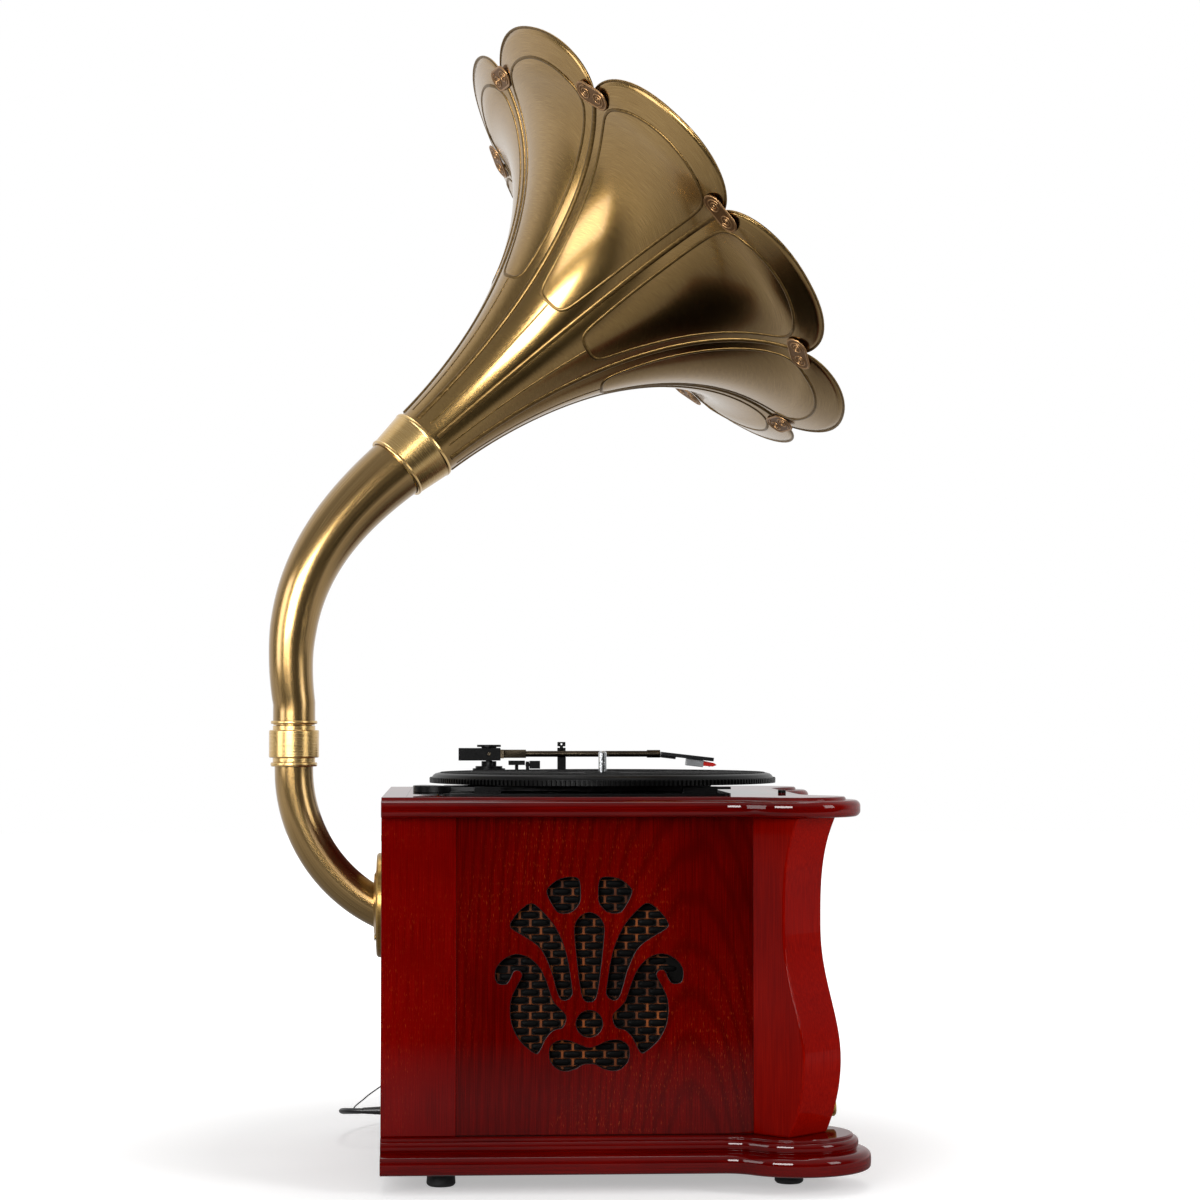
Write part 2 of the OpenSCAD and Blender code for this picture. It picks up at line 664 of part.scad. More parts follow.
mode_travel = 2;
module mode_button() {
  set_down() color("#e6dfc8") {
    translate([body_d - panel_t - 2, -mode_w / 2, mode_z - mode_h / 2])
      cube([panel_t + fascia_t + 5, mode_w, mode_h]);
    translate([body_d - panel_t - 4, -mode_w / 2 - 3, mode_z - mode_h / 2 - 3])
      cube([2.02, mode_w + 6, mode_h + 6]);
  }
}

power_x = body_d + 2.4;
power_y = -60;
power_r = 3.4;
power_up = 2.5;
power_travel = 1.5;
power_deep = 10;
module power_button() {
  set_down() color("#181818") translate([power_x, power_y, top_z - power_deep])
    cylinder(r = power_r, h = power_deep + power_up);
}

module deck_plate() {
  block_x = [[deck_x0 + 26, 22], [spindle_x + 60, 29]];
  set_down() color("#131313") difference() {
    union() {
      translate([0, 0, top_z]) linear_extrude(deck_t) deck_outline(0);
      translate([motor_x, motor_y, top_z + 1]) cylinder(r = cover_r, h = deck_t - 1);
      translate([0, 0, top_z - tub_depth]) linear_extrude(tub_depth + 0.1) deck_tub(0);
      translate([spindle_x, spindle_y, top_z - tub_depth]) cylinder(r = bearing_r + 4, h = 8);
      for (b = block_x) translate([b[0], deck_y0 + 6, deck_z - 0.1]) cube([b[1], 11, 5.6]);
      translate([block_x[1][0] + block_x[1][1], deck_y0 + 7, deck_z + 3.3]) cube([11, 9, 2]);
    }
    translate([0, 0, top_z - tub_depth - 1]) linear_extrude(tub_depth + 1) difference() {
      deck_tub(tub_wall);
      translate([spindle_x, spindle_y]) circle(bearing_r + 4);
      translate([arm_x, arm_y]) circle(9);
    }
    translate([spindle_x, spindle_y, top_z - 20]) cylinder(r = bearing_r + 0.02, h = 40);
    translate([motor_x, motor_y, top_z - 20]) cylinder(r = pulley_r + 1, h = 40);
    translate([arm_x, arm_y, top_z - 20]) cylinder(r = turret_r + 0.4, h = 40);
    for (x = lever_at) translate([x - 3, lever_y - 2, top_z - 20]) cube([11.5, 4, 40]);
  }
}

// The motor hangs under the deck plate and its pulley stands above it
motor_top = top_z - gap / 10;
module motor() {
  set_down() color("#8d8f92") translate([motor_x, motor_y, motor_top - motor_h]) difference() {
    cylinder(r = motor_r, h = motor_h);
    translate([0, 0, -1]) cylinder(r = motor_shaft_r + run_gap, h = motor_h + 2);
  }
}

module motor_pulley() {
  set_down() color("#b08d3e") translate([motor_x, motor_y, 0]) {
    translate([0, 0, motor_top - 16]) cylinder(r = motor_shaft_r, h = drum_z - motor_top + 17);
    translate([0, 0, drum_z]) cylinder(r = pulley_r, h = belt_h + 0.2);
    translate([0, 0, drum_z]) cylinder(r = pulley_r + 0.6, h = 0.5);
  }
}

module motor_cover() {
  wall = 2;
  toward = atan2(spindle_y - motor_y, spindle_x - motor_x);
  set_down() color("#1a1a1a") translate([motor_x, motor_y, deck_z]) difference() {
    cylinder(r = cover_r, h = cover_top - deck_z);
    translate([0, 0, -1]) cylinder(r = cover_r - wall, h = cover_top - deck_z);
    rotate([0, 0, toward]) translate([0, -cover_r, -1]) cube([30, 2 * cover_r, 40]);
  }
}

// Flat belt as the space between two outlines round drum and pulley
module belt_outline(r) {
  hull() {
    translate([spindle_x, spindle_y]) circle(drum_r + r, $fn = 96);
    translate([motor_x, motor_y]) circle(pulley_r + r, $fn = 32);
  }
}

module drive_belt() {
  set_down() color("#222222") translate([0, 0, belt_z]) linear_extrude(belt_h - 0.6) difference() {
    belt_outline(gap + belt_t);
    belt_outline(gap);
  }
}

module at_spindle(z) {
  set_down() translate([spindle_x, spindle_y, z]) children();
}

module platter_bearing() {
  color("#b59652") at_spindle(deck_z - bearing_drop) difference() {
    cylinder(r = bearing_r, h = bearing_drop + 0.4);
    translate([0, 0, 2]) cylinder(r = shaft_r + run_gap, h = bearing_drop);
  }
}

// The pin is a little thinner where it passes the mat, so a record meets only the part above
spindle_relief = 0.3;
module spindle() {
  color("#cfd2d4") at_spindle(0) {
    translate([0, 0, deck_z - bearing_drop + 2.2])
      cylinder(r = shaft_r, h = mat_z - mat_t - deck_z + bearing_drop - 2.2);
    translate([0, 0, mat_z - mat_t - 0.01])
      cylinder(r = spindle_r - spindle_relief, h = mat_t + spindle_relief + 0.02);
    translate([0, 0, mat_z + spindle_relief])
      cylinder(r = spindle_r, h = spindle_h - spindle_relief - 2);
    translate([0, 0, mat_z + spindle_h - 2.01]) rotate_extrude() polygon([[0, 0], [spindle_r, 0],
      [spindle_r * 0.9, 0.8], [spindle_r * 0.6, 1.6], [0, 2]]);
  }
}

module platter() {
  skirt = 3;
  set_r = platter_r - 8;
  color("#1b1c1d") at_spindle(0) rotate_extrude($fn = 128) polygon([[shaft_r + 0.02, mat_z - mat_t],
    [shaft_r + 0.02, drum_z], [14, drum_z], [14, mat_z - mat_t - 4], [drum_r - 4, mat_z - mat_t - 4],
    [drum_r - 4, drum_z], [drum_r, drum_z], [drum_r, drum_z + 5.6],
    [drum_r + 1.5, drum_z + 5.8], [platter_r - skirt, rim_z + 1], [platter_r - skirt, rim_z],
    [platter_r, rim_z], [platter_r, rim_z + rim_t], [platter_r - 3, rim_z + rim_t + 3.2],
    [set_r, mat_z - 0.6], [set_r - 1, mat_z - mat_t]]);
}

module platter_mat() {
  color("#101112") at_spindle(mat_z - mat_t) difference() {
    cylinder(r = platter_r - 9.2, h = mat_t, $fn = 128);
    translate([0, 0, -1]) cylinder(r = spindle_r + 0.02, h = 5);
  }
}

module at_arm(z) {
  set_down() translate([arm_x, arm_y, z]) children();
}

base_disc_z = deck_z + 18.2;
module tonearm_base() {
  color("#161616") at_arm(0) difference() {
    union() {
      translate([0, 0, deck_z]) cylinder(r = 15, h = base_disc_z - deck_z - 2);
      translate([0, 0, base_disc_z - 2.01]) cylinder(r = 12.4, h = 2);
      translate([0, 0, base_disc_z - 0.1]) cylinder(r = 6.9, h = turret_foot - base_disc_z - move_gap);
      translate([rail_x - 4, -5, deck_z]) cube([8, 10, rail_z - 9 - deck_z]);
      translate([0, -5, deck_z]) cube([cue_x - 5, 10, 4]);
      translate([cue_x - 8, -4, deck_z]) cube([3, 8, cue_z - deck_z + 3]);
    }
    translate([cue_x - 10, 0, cue_z]) rotate([0, 90, 0]) cylinder(r = cue_pin_r + run_gap, h = 8);
    translate([0, 0, deck_z - 1]) cylinder(r = turret_r + run_gap, h = 60);
    translate([rail_x, 0, rail_z - 20]) cylinder(r = rail_pin_r + run_gap, h = 30);
  }
}

// Upright part of the arm's bearing, which carries the arm's cross pin
slot_r = 7.2;
module tonearm_turret() {
  color("#141414") at_arm(0) difference() {
    union() {
      translate([0, 0, deck_z - 6]) cylinder(r = turret_r, h = turret_foot - deck_z + 6.1);
      translate([0, 0, turret_foot]) cylinder(r = slot_r, h = arm_z + 7 - turret_foot);
      translate([0, 0, arm_z + 6.4]) cylinder(r = 11, h = 2);
    }
    translate([0, -20, arm_z]) rotate([-90, 0, 0]) cylinder(r = pivot_pin_r + run_gap, h = 40);
  }
}

// Rear housing of the arm: a weighted fork round the turret
fork_back = 28;
fork_front = 10.5;
fork_w = 24;
module counterweight() {
  color("#121212") at_arm(arm_z) difference() {
    translate([-fork_back, -fork_w / 2, -6]) cube([fork_back + fork_front, fork_w, 11.4]);
    hull() {
      translate([0, 0, -10]) cylinder(r = slot_r + 0.6, h = 20, $fn = 32);
      translate([20, 0, -10]) cylinder(r = slot_r + 0.6, h = 20, $fn = 32);
    }
    translate([0, -20, 0]) rotate([-90, 0, 0]) cylinder(r = pivot_pin_r, h = 40);
  }
}

holder_l = 23.5;
module tonearm_tube() {
  color("#26221c") at_arm(arm_z) {
    translate([fork_front, -fork_w / 2, -4]) cube([3, fork_w, 8]);
    translate([fork_front, -5, -3.7]) cube([holder_l, 10, 7.6]);
    rotate([0, 90, 0]) translate([0, 0, fork_front + 1]) cylinder(d = arm_d, h = arm_l - fork_front - 13);
    translate([arm_l - 12.2, 0, 0]) rotate([0, 90, 0]) cylinder(r = 3.6, h = 12.2);
    for (y = [-1, 1]) translate([0, y < 0 ? -fork_w / 2 - 0.8 : slot_r - 4, 0]) rotate([-90, 0, 0])
      cylinder(r = pivot_pin_r, h = fork_w / 2 + 0.8 - slot_r + 4);
  }
}

// Head: a sloping plate with a finger lift, which carries cartridge and stylus
head_l = 49;
head_t = 3.4;
head_top = 1.9;
module at_head() {
  at_arm(arm_z) translate([arm_l + 0.5, 0, 0]) rotate([0, head_dip, 0]) children();
}

module headshell() {
  color("#17181a") at_head() {
    translate([0, -8, head_top - head_t]) cube([head_l, 16, head_t]);
    translate([0, -5, head_top - head_t - 1.9]) cube([14, 10, 2]);
    translate([head_l - 7, 7.9, -0.4]) cube([6, 12, 1.2]);
  }
}

cart_x = 24;
cart_l = 16;
cart_h = 6.4;
cart_z = head_top - head_t - 0.02;
module cartridge() {
  color("#9b9b9b") at_head() translate([cart_x, -6, cart_z - cart_h]) cube([cart_l, 12, cart_h]);
}

needle_z = -7.2;
module stylus() {
  color("#d8231c") at_head() translate([cart_x + cart_l + 0.02, -4.5, 0]) {
    rotate([90, 0, 0]) mirror([0, 0, 1]) linear_extrude(9) polygon([[0, cart_z - 0.4],
      [10, cart_z - 1.4], [12.4, cart_z - 3], [9, needle_z + 0.9], [0, needle_z + 0.6]]);
    translate([6, 4.5, needle_z]) cylinder(d1 = 0.4, d2 = 1.4, h = 1.2, $fn = 24);
  }
}

// Cradle of the arm rest, open to the right so that the arm can leave it
rest_z = arm_z - arm_d / 2 - gap;
clip_z = arm_z + arm_d / 2 + 1.2;
clip_y = arm_d / 2 + 2.4;
module arm_rest() {
  w = 7.6;
  color("#151515") at_arm(0) translate([rest_l, 0, 0]) difference() {
    union() {
      translate([-w / 2, -3, deck_z]) cube([w, clip_y + 4.4, rest_z - deck_z]);
      translate([-w / 2, arm_d / 2 + 0.4, deck_z]) cube([w, 4, clip_z - deck_z + 1.6]);
    }
    translate([-w, clip_y, clip_z]) rotate([0, 90, 0]) cylinder(r = 1 + run_gap, h = 2 * w);
    translate([-w / 2 + 2.2, arm_d / 2 - 1, clip_z - 2.4]) cube([w - 4.4, 8, 9]);
  }
}

// Hook over the arm, shown open; its pin is part of it
module rest_clip() {
  w = 3;
  head_w = 7.4;
  up = 6.9;
  color("#191919") at_arm(0) translate([rest_l, clip_y, clip_z]) {
    translate([-3.7, 0, 0]) rotate([0, 90, 0]) cylinder(r = 1, h = 7.4, $fn = 32);
    difference() {
      union() {
        translate([-w / 2, 0, 0]) rotate([0, 90, 0]) cylinder(r = 1.5, h = w, $fn = 32);
        translate([-w / 2, -0.9, 0]) cube([w, 2.4, up]);
        translate([-head_w / 2, -0.9, 2.8]) cube([head_w, 2.4, up - 2.8]);
      }
      translate([0, -5, 4.9]) rotate([-90, 0, 0]) cylinder(r = 0.9, h = 10, $fn = 32);
    }
  }
}

rail_x = 25.5;
rail_z = arm_z - 6.2;
rail_pin_r = 1.6;
module lift_rail() {
  color("#1b1b1b") at_arm(0) {
    translate([rail_x - 7.5, -7, rail_z - 4]) cube([15, 14, 4]);
    translate([rail_x, 0, rail_z - 15]) cylinder(r = rail_pin_r, h = 12);
  }
}

cue_x = 42;
cue_z = arm_z - 10;
cue_pin_r = 1.5;
module cue_lever() {
  color("#1e1e1e") at_arm(0) translate([cue_x, 0, cue_z]) {
    translate([-8.3, 0, 0]) rotate([0, 90, 0]) cylinder(r = cue_pin_r, h = 12);
    translate([-4.6, -3.6, -3.6]) cube([9.6, 7.2, 7.2]);
    translate([1.4, 2, -1.2]) cube([3.4, 18, 2.4]);
  }
}

lever_y = deck_w / 2 - 23;
lever_at = [spindle_x + 44, spindle_x + 61];
module deck_lever(x) {
  translate([x, lever_y, deck_z - 6]) {
    translate([-1.5, -1.5, 0]) cube([3, 3, 8]);
    translate([-4.8, -3.5, 6 + gap]) cube([9.6, 7, 2.4]);
    translate([-4, -1.4, 8]) cube([8, 2.8, 12.4]);
  }
}

module speed_lever() {
  set_down() color("#141414") deck_lever(lever_at[0]);
}

module stop_lever() {
  set_down() color("#141414") deck_lever(lever_at[1]);
}

// Bent stretch of the lower tube, from the swivel down, as a round bar of radius r
bend_past = 13;
module elbow_bend(r, past) {
  translate([bend_x, 0, horn_arc_z]) rotate([90, 0, 0]) rotate([0, 0, 180])
    rotate_extrude(angle = bend_a + past) translate([bend_r, 0]) circle(r);
}

// The same bar with a straight end that reaches h up into the swivel
module elbow_bar(r, past, h) {
  elbow_bend(r, past);
  translate([-swivel_back, 0, horn_arc_z]) cylinder(r = r, h = h);
}

flange_r = 45.5;
flange_t = 8;
flange_z = horn_arc_z - bend_r * sin(bend_a) - 1;
boss_t = 10.4;
screw_ring = 37;
module elbow_flange() {
  set_down() color("#a8854a") difference() {
    translate([0, 0, flange_z]) rotate([0, -90, 0]) rotate_extrude() polygon([[0, 0],
      [flange_r, 0], [flange_r, flange_t - 1.6], [flange_r - 1.6, flange_t], [31, flange_t + 0.6],
      [25, boss_t], [0, boss_t]]);
    elbow_bend(tube_r + 0.02, bend_past);
    for (a = [45:90:315]) translate([1, screw_ring * cos(a), flange_z + screw_ring * sin(a)])
      rotate([0, -90, 0]) cylinder(r = 2 + run_gap, h = 2 * flange_t);
  }
}

module flange_screws() {
  set_down() color("#b8944f") for (a = [45:90:315])
    translate([0, screw_ring * cos(a), flange_z + screw_ring * sin(a)]) rotate([0, -90, 0]) {
      translate([0, 0, -panel_t]) cylinder(r = 2, h = panel_t + flange_t + 0.8);
      translate([0, 0, flange_t + 0.7]) screw(7.6, 1);
    }
}

module elbow_pipe() {
  set_down() color("#a8854a") difference() {
    elbow_bar(tube_r, bend_past, 6);
    elbow_bar(bore_r, 2 * bend_past, 9);
    translate([panel_t / 2, -2 * tube_r, 0]) cube([4 * tube_r, 4 * tube_r, swivel_z]);
  }
}

// Fixed half of the swivel, with bead, waist and broad band
bore_r = tube_r - tube_t;
fixed_h = 35.7;
module swivel_collar() {
  set_down() color("#c39a52") translate([-swivel_back, 0, swivel_z]) rotate_extrude() polygon([
    [tube_r + 0.02, 0], [tube_r + 3, 0], [tube_r + 3.5, 1], [tube_r + 3.5, 2.8], [tube_r + 3, 3.6],
    [tube_r + 1.7, 3.7], [tube_r + 1.7, 7.6], [swivel_r - 0.6, 7.7], [swivel_r, 8.4],
    [swivel_r, 31], [swivel_r - 0.6, 31.8], [tube_r + 1.7, 31.9], [tube_r + 1.7, fixed_h],
    [bore_r + run_gap, fixed_h], [bore_r + run_gap, 8], [tube_r + 0.02, 8]]);
}

// Turning half of the swivel: a bead, and a spigot that turns in the fixed half
neck_z = swivel_z + fixed_h + gap;
neck_r = 18.5;
neck_sides = 28;
sleeve_r = (neck_r - tube_t) * cos(180 / neck_sides) - 0.03;
module neck_spigot() {
  set_down() color("#c39a52") translate([-swivel_back, 0, neck_z]) rotate_extrude() polygon([
    [bore_r, -22], [bore_r, 0], [neck_r - 0.4, 0], [neck_r - 0.4, 1], [tube_r + 3, 1.1],
    [tube_r + 3.5, 1.8], [tube_r + 3.5, 3.2], [tube_r + 3, 4], [sleeve_r, 4], [sleeve_r, 14],
    [bore_r - tube_t, 14], [bore_r - tube_t, -22]]);
}

// Middle line of the neck, as distance from the swivel's axis and height
neck_foot = neck_z + 4.02;
neck_bow = [[0, swivel_z + fixed_h + 19.3], [-0.162 * neck_reach, swivel_z + 0.568 * neck_h],
  [0.285 * neck_reach, swivel_z + 0.796 * neck_h], [neck_reach, swivel_z + neck_h]];
function bow(t) = let (s = 1 - t) s * s * s * neck_bow[0] + 3 * s * s * t * neck_bow[1]
  + 3 * s * t * t * neck_bow[2] + t * t * t * neck_bow[3];
neck_end_r = 28;
function neck_radius(t) = neck_r + 1.6 * min(t * 4, 1)
  + (neck_end_r - neck_r - 1.6) * pow(max(t - 0.15, 0) / 0.85, 1.3);
neck_line = concat([[0, neck_foot], [0, (neck_foot + neck_bow[0][1]) / 2]],
  [for (k = [0:17]) bow(k / 17)]);
neck_radii = concat([neck_r, neck_r], [for (k = [0:17]) neck_radius(k / 17)]);

module neck_pipe() {
  n = len(neck_line);
  sides = neck_sides;
  ahead = [cos(horn_turn), sin(horn_turn), 0];
  beside = [-sin(horn_turn), cos(horn_turn), 0];
  rings = [for (wall = [0:1]) for (k = [0:n - 1])
    let (i = wall == 0 ? k : n - 1 - k, t2 = i == 0 ? [0, 1] : i == n - 1 ? unit(neck_bow[3] - neck_bow[2])
      : tangent(neck_line, i), t = t2[0] * ahead + [0, 0, t2[1]], over = cross(beside, t),
      r = neck_radii[i] - wall * tube_t, c = neck_line[i][0] * ahead + [0, 0, neck_line[i][1]])
    for (j = [0:sides - 1]) let (a = 360 * j / sides) c + r * (cos(a) * over + sin(a) * beside)];
  m = 2 * n;
  faces = [for (k = [0:m - 1]) for (j = [0:sides - 1]) for (half = [0:1])
    let (a = k * sides + j, b = k * sides + (j + 1) % sides, c = ((k + 1) % m) * sides + (j + 1) % sides,
      d = ((k + 1) % m) * sides + j)
    half == 0 ? [a, c, b] : [a, d, c]];
  set_down() color("#a8854a") translate([-swivel_back, 0, 0])
    polyhedron(points = rings, faces = faces, convexity = 8);
}

// Everything on the horn is drawn along its axis, from the upper edge of its collar
neck_tip = neck_bow[3];
horn_foot = neck_tip + collar_l * [cos(horn_rise), sin(horn_rise)];
module on_horn() {
  set_down() translate([horn_foot[0] * cos(horn_turn) - swivel_back, horn_foot[0] * sin(horn_turn),
    horn_foot[1]]) rotate([0, 90 - horn_rise, horn_turn]) children();
}

petal_foot = 12;
module horn_collar() {
  inside = throat_r + 0.1;
  on_horn() color("#c8a25a") rotate_extrude() polygon([[neck_end_r + 0.3, -collar_l],
    [neck_end_r + 2.4, -collar_l], [throat_r + 2.2, 0], [inside, 0], [inside - 0.6, -petal_foot - 1],
    [neck_end_r - 5, -petal_foot - 1.5], [neck_end_r - 5, -collar_l + 4.5],
    [neck_end_r + 0.3, -collar_l + 4.5]]);
}

// Bell profile [radius, height] at t, straight on along the petal tips where t passes 1
bell = [[throat_r, 0], [throat_r + 9.7, bell_l / 2], [mouth_r * 0.52, bell_l * 0.945],
  [mouth_r, bell_l]];
lip_l = 3 * norm(bell[3] - bell[2]);
function bell_at(t) =
  t < 0 ? [throat_r + 0.6 * t, petal_foot * t]
  : t > 1 ? bell[3] + (t - 1) * lip_l * [sin(petal_lean), cos(petal_lean)]
  : let (s = 1 - t) s * s * s * bell[0] + 3 * s * s * t * bell[1] + 3 * s * t * t * bell[2]
    + t * t * t * bell[3];
function bell_normal(t) = let (d = bell_at(t + 0.01) - bell_at(t - 0.01)) unit([d[1], -d[0]]);
petal_count = 8;
petal_half = 180 / petal_count;
tip_t = petal_out / lip_l;
function scallop(v) = tip_t * pow(1 - pow(abs(v), 2.35), 0.7);

// One point of a petal: u along it, v across it from -1 to 1, w through the sheet
function petal_point(u, v, w) =
  let (
    t = u < 0 ? u : u * (1 + scallop(v)),
    p = bell_at(t),
    m = bell_normal(t),
    lift = petal_crown * (1 - v * v) * max(0, min(1, 1.6 * u)) - w * sheet_t,
    q = p + lift * m,
    a = v * (petal_half - 0.12)
  )
  [q[0] * cos(a), q[0] * sin(a), q[1]];

petal_u = concat([-1, 0], [for (k = [1:13]) k / 13]);
petal_v = [for (k = [-5:5]) sin(18 * k)];
module petal() {
  nu = len(petal_u);
  nv = len(petal_v);
  sheet = nu * nv;
  points = [for (w = [0:1]) for (u = petal_u) for (v = petal_v) petal_point(u, v, w)];
  skins = [for (w = [0:1]) for (i = [0:nu - 2]) for (j = [0:nv - 2]) for (half = [0:1])
    let (a = w * sheet + i * nv + j, b = a + 1, c = b + nv, d = a + nv)
    w == 0 ? (half == 0 ? [a, c, b] : [a, d, c]) : (half == 0 ? [a, b, c] : [a, c, d])];
  edge = concat([for (j = [0:nv - 2]) j], [for (i = [0:nu - 2]) i * nv + nv - 1],
    [for (j = [nv - 1:-1:1]) (nu - 1) * nv + j], [for (i = [nu - 1:-1:1]) i * nv]);
  ne = len(edge);
  rim = [for (k = [0:ne - 1]) for (half = [0:1])
    let (a = edge[k], b = edge[(k + 1) % ne])
    half == 0 ? [a, b, b + sheet] : [a, b + sheet, a + sheet]];
  polyhedron(points = points, faces = concat(skins, rim), convexity = 8);
}

clip_turn = 0.8;
module horn_petals() {
  on_horn() color("#9a7c48") for (k = [0:petal_count - 1])
    rotate([0, 0, -clip_turn + (k + 0.5) * 2 * petal_half]) petal();
}

// Oval plates over the seams at the rim
clip_r = 10.4;
clip_apart = 9.4;
clip_raise = 2.1;
module rim_clips() {
  t = 0.99;
  p = bell_at(t);
  m = bell_normal(t);
  on_horn() color("#a0703c") for (k = [0:petal_count - 1])
    rotate([0, 0, -clip_turn + k * 2 * petal_half]) translate([p[0], 0, p[1]])
      rotate([0, 90 - atan2(m[1], m[0]), 0]) translate([0, 0, clip_raise]) linear_extrude(1.2) {
        for (y = [-clip_apart, clip_apart]) translate([0, y]) circle(clip_r);
        translate([-clip_r + 1, -clip_apart]) square([2 * clip_r - 2, 2 * clip_apart]);
      }
}

module power_cord() {
  set_down() color("#0c0c0c") tube(lead_path, lead_r, 8, [-1, 0, 0], [0, 1, 0]);
}

module power_cord_coil() {
  set_down() color("#0c0c0c") tube(coil_line, lead_r, 6, [0, 1, 0], [1, 0, 0]);
}

module mains_plug() {
  set_down() color("#0f0f0f") translate(plug_in) {
    translate([0.02, 0, 0]) rotate([0, 90, 0]) cylinder(r1 = 3.4, r2 = 5, h = 12);
    translate([12, -plug_w / 2, -plug_at[2] + 0.1]) cube([plug_l - 12, plug_w, plug_t]);
    for (y = [-9.5, 9.5]) translate([plug_l - 1, y, 0]) rotate([0, 90, 0]) cylinder(r = 2, h = 19);
  }
}

module aerial_wire() {
  set_down() color("#1a1a1a") tube(wire_path, wire_r, 8, [-1, 0, 0], [1, 0, 0]);
}

module aerial_coil() {
  set_down() color("#1a1a1a") tube(wire_coil, wire_r, 6, [1, 0, 0],
    [cos(petal_half), sin(petal_half), 0]);
}

rubber_feet();
base_moulding();
bottom_board();
side_panel_right();
side_panel_left();
rear_stiles();
back_panel();
front_panel();
corner_posts();
top_moulding();
top_panel();
grille_cloths();
speaker_frames();
speaker_cones();
amplifier_board();
transformer();
rear_socket_plate();
cord_gland();
cabinet_screws();
control_fascia();
volume_knob();
tuning_knob();
mode_button();
power_button();
deck_plate();
motor();
motor_cover();
motor_pulley();
drive_belt();
platter_bearing();
spindle();
platter();
platter_mat();
tonearm_base();
tonearm_turret();
tonearm_tube();
counterweight();
headshell();
cartridge();
stylus();
arm_rest();
rest_clip();
lift_rail();
cue_lever();
speed_lever();
stop_lever();
elbow_flange();
flange_screws();
elbow_pipe();
swivel_collar();
neck_spigot();
neck_pipe();
horn_collar();
horn_petals();
rim_clips();
power_cord();
power_cord_coil();
mains_plug();
aerial_wire();
aerial_coil();
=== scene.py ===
import json
import bpy
import bmesh
from math import atan2, ceil, copysign, cos, degrees, pi, radians, sin, sqrt
from mathutils import Matrix, Vector


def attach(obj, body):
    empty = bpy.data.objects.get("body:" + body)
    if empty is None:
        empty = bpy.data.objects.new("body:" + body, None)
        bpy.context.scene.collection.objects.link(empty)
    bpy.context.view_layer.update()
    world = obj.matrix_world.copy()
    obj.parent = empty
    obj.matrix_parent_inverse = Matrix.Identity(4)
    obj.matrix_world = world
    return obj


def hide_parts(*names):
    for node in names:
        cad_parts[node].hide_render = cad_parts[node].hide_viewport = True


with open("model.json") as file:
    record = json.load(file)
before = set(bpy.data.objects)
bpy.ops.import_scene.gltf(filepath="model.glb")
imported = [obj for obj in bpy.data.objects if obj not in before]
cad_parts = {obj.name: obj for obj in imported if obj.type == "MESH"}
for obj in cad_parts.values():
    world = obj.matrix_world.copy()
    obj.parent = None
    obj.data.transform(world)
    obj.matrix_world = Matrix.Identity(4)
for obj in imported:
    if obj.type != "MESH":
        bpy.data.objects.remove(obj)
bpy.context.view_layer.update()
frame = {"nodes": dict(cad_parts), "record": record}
bodyOf = {n: b for b, nodes in frame["record"]["behaviour"]["bodies"].items() for n in nodes}
print("frame loaded:", len(frame["nodes"]), "nodes")


# Places are in mm: x from the rear face, y from the middle line, z from the floor
originX, originY = 153, 46  # where the frame's own origin lies in them


def place(x, y, z):
    return Vector(((x - originX) / 1000, (y - originY) / 1000, z / 1000))


def seat(x, y, z, *turns):  # sets a shape drawn in mm down there, turned by (degrees, axis)
    made = Matrix.Translation(place(x, y, z))
    for angle, axis in turns:
        made = made @ Matrix.Rotation(radians(angle), 4, axis)
    return made @ Matrix.Scale(0.001, 4)


cabinet = seat(0, 0, 0)


def addObject(name, data):
    made = bpy.data.objects.new(name, data)
    bpy.context.scene.collection.objects.link(made)
    return made


def addAimed(name, data, at, ahead):
    made = addObject(name, data)
    made.location, made.rotation_mode = at, "QUATERNION"
    made.rotation_quaternion = ahead.to_track_quat("-Z", "Y")
    return made


# Materials
def linear(hexColour):
    parts = [int(hexColour[k:k + 2], 16) / 255 for k in (1, 3, 5)]
    return [c / 12.92 if c <= 0.04045 else ((c + 0.055) / 1.055) ** 2.4 for c in parts] + [1]


def addNode(tree, kind, inputs=(), stops=(), **settings):
    made = tree.nodes.new(kind)
    for name, value in settings.items():
        setattr(made, name, value)
    for socket, value in dict(inputs).items():
        if isinstance(value, bpy.types.NodeSocket):
            tree.links.new(value, made.inputs[socket])
        else:
            made.inputs[socket].default_value = linear(value) if isinstance(value, str) else value
    for k, (position, colour) in enumerate(stops):
        elements = made.color_ramp.elements
        element = elements[k] if k < 2 else elements.new(position)
        element.position, element.color = position, linear(colour)
    return made


def coordinates(tree, kind):
    return addNode(tree, "ShaderNodeTexCoord").outputs[kind]


def stretched(tree, where, scale, at=(0, 0, 0)):
    return addNode(tree, "ShaderNodeMapping", {"Vector": where, "Scale": scale,
                                               "Location": at}).outputs[0]


def noise(tree, where, scale, detail, roughness=0.5):
    return addNode(tree, "ShaderNodeTexNoise", {"Vector": where, "Scale": scale, "Detail": detail,
                                                "Roughness": roughness}).outputs["Fac"]


def span(tree, value, low, high, toLow=0.0, toHigh=1.0):
    return addNode(tree, "ShaderNodeMapRange", {"Value": value, "From Min": low, "From Max": high,
                                                "To Min": toLow, "To Max": toHigh}).outputs[0]


def combined(tree, operation, *values, **settings):
    return addNode(tree, "ShaderNodeMath", dict(enumerate(values)), operation=operation,
                   **settings).outputs[0]


def blended(tree, share, a, b):
    return addNode(tree, "ShaderNodeMix", {0: share, 2: a, 3: b}).outputs[0]


def blendedColour(tree, share, a, b):
    return addNode(tree, "ShaderNodeMix", {0: share, 6: a, 7: b}, data_type="RGBA").outputs[2]


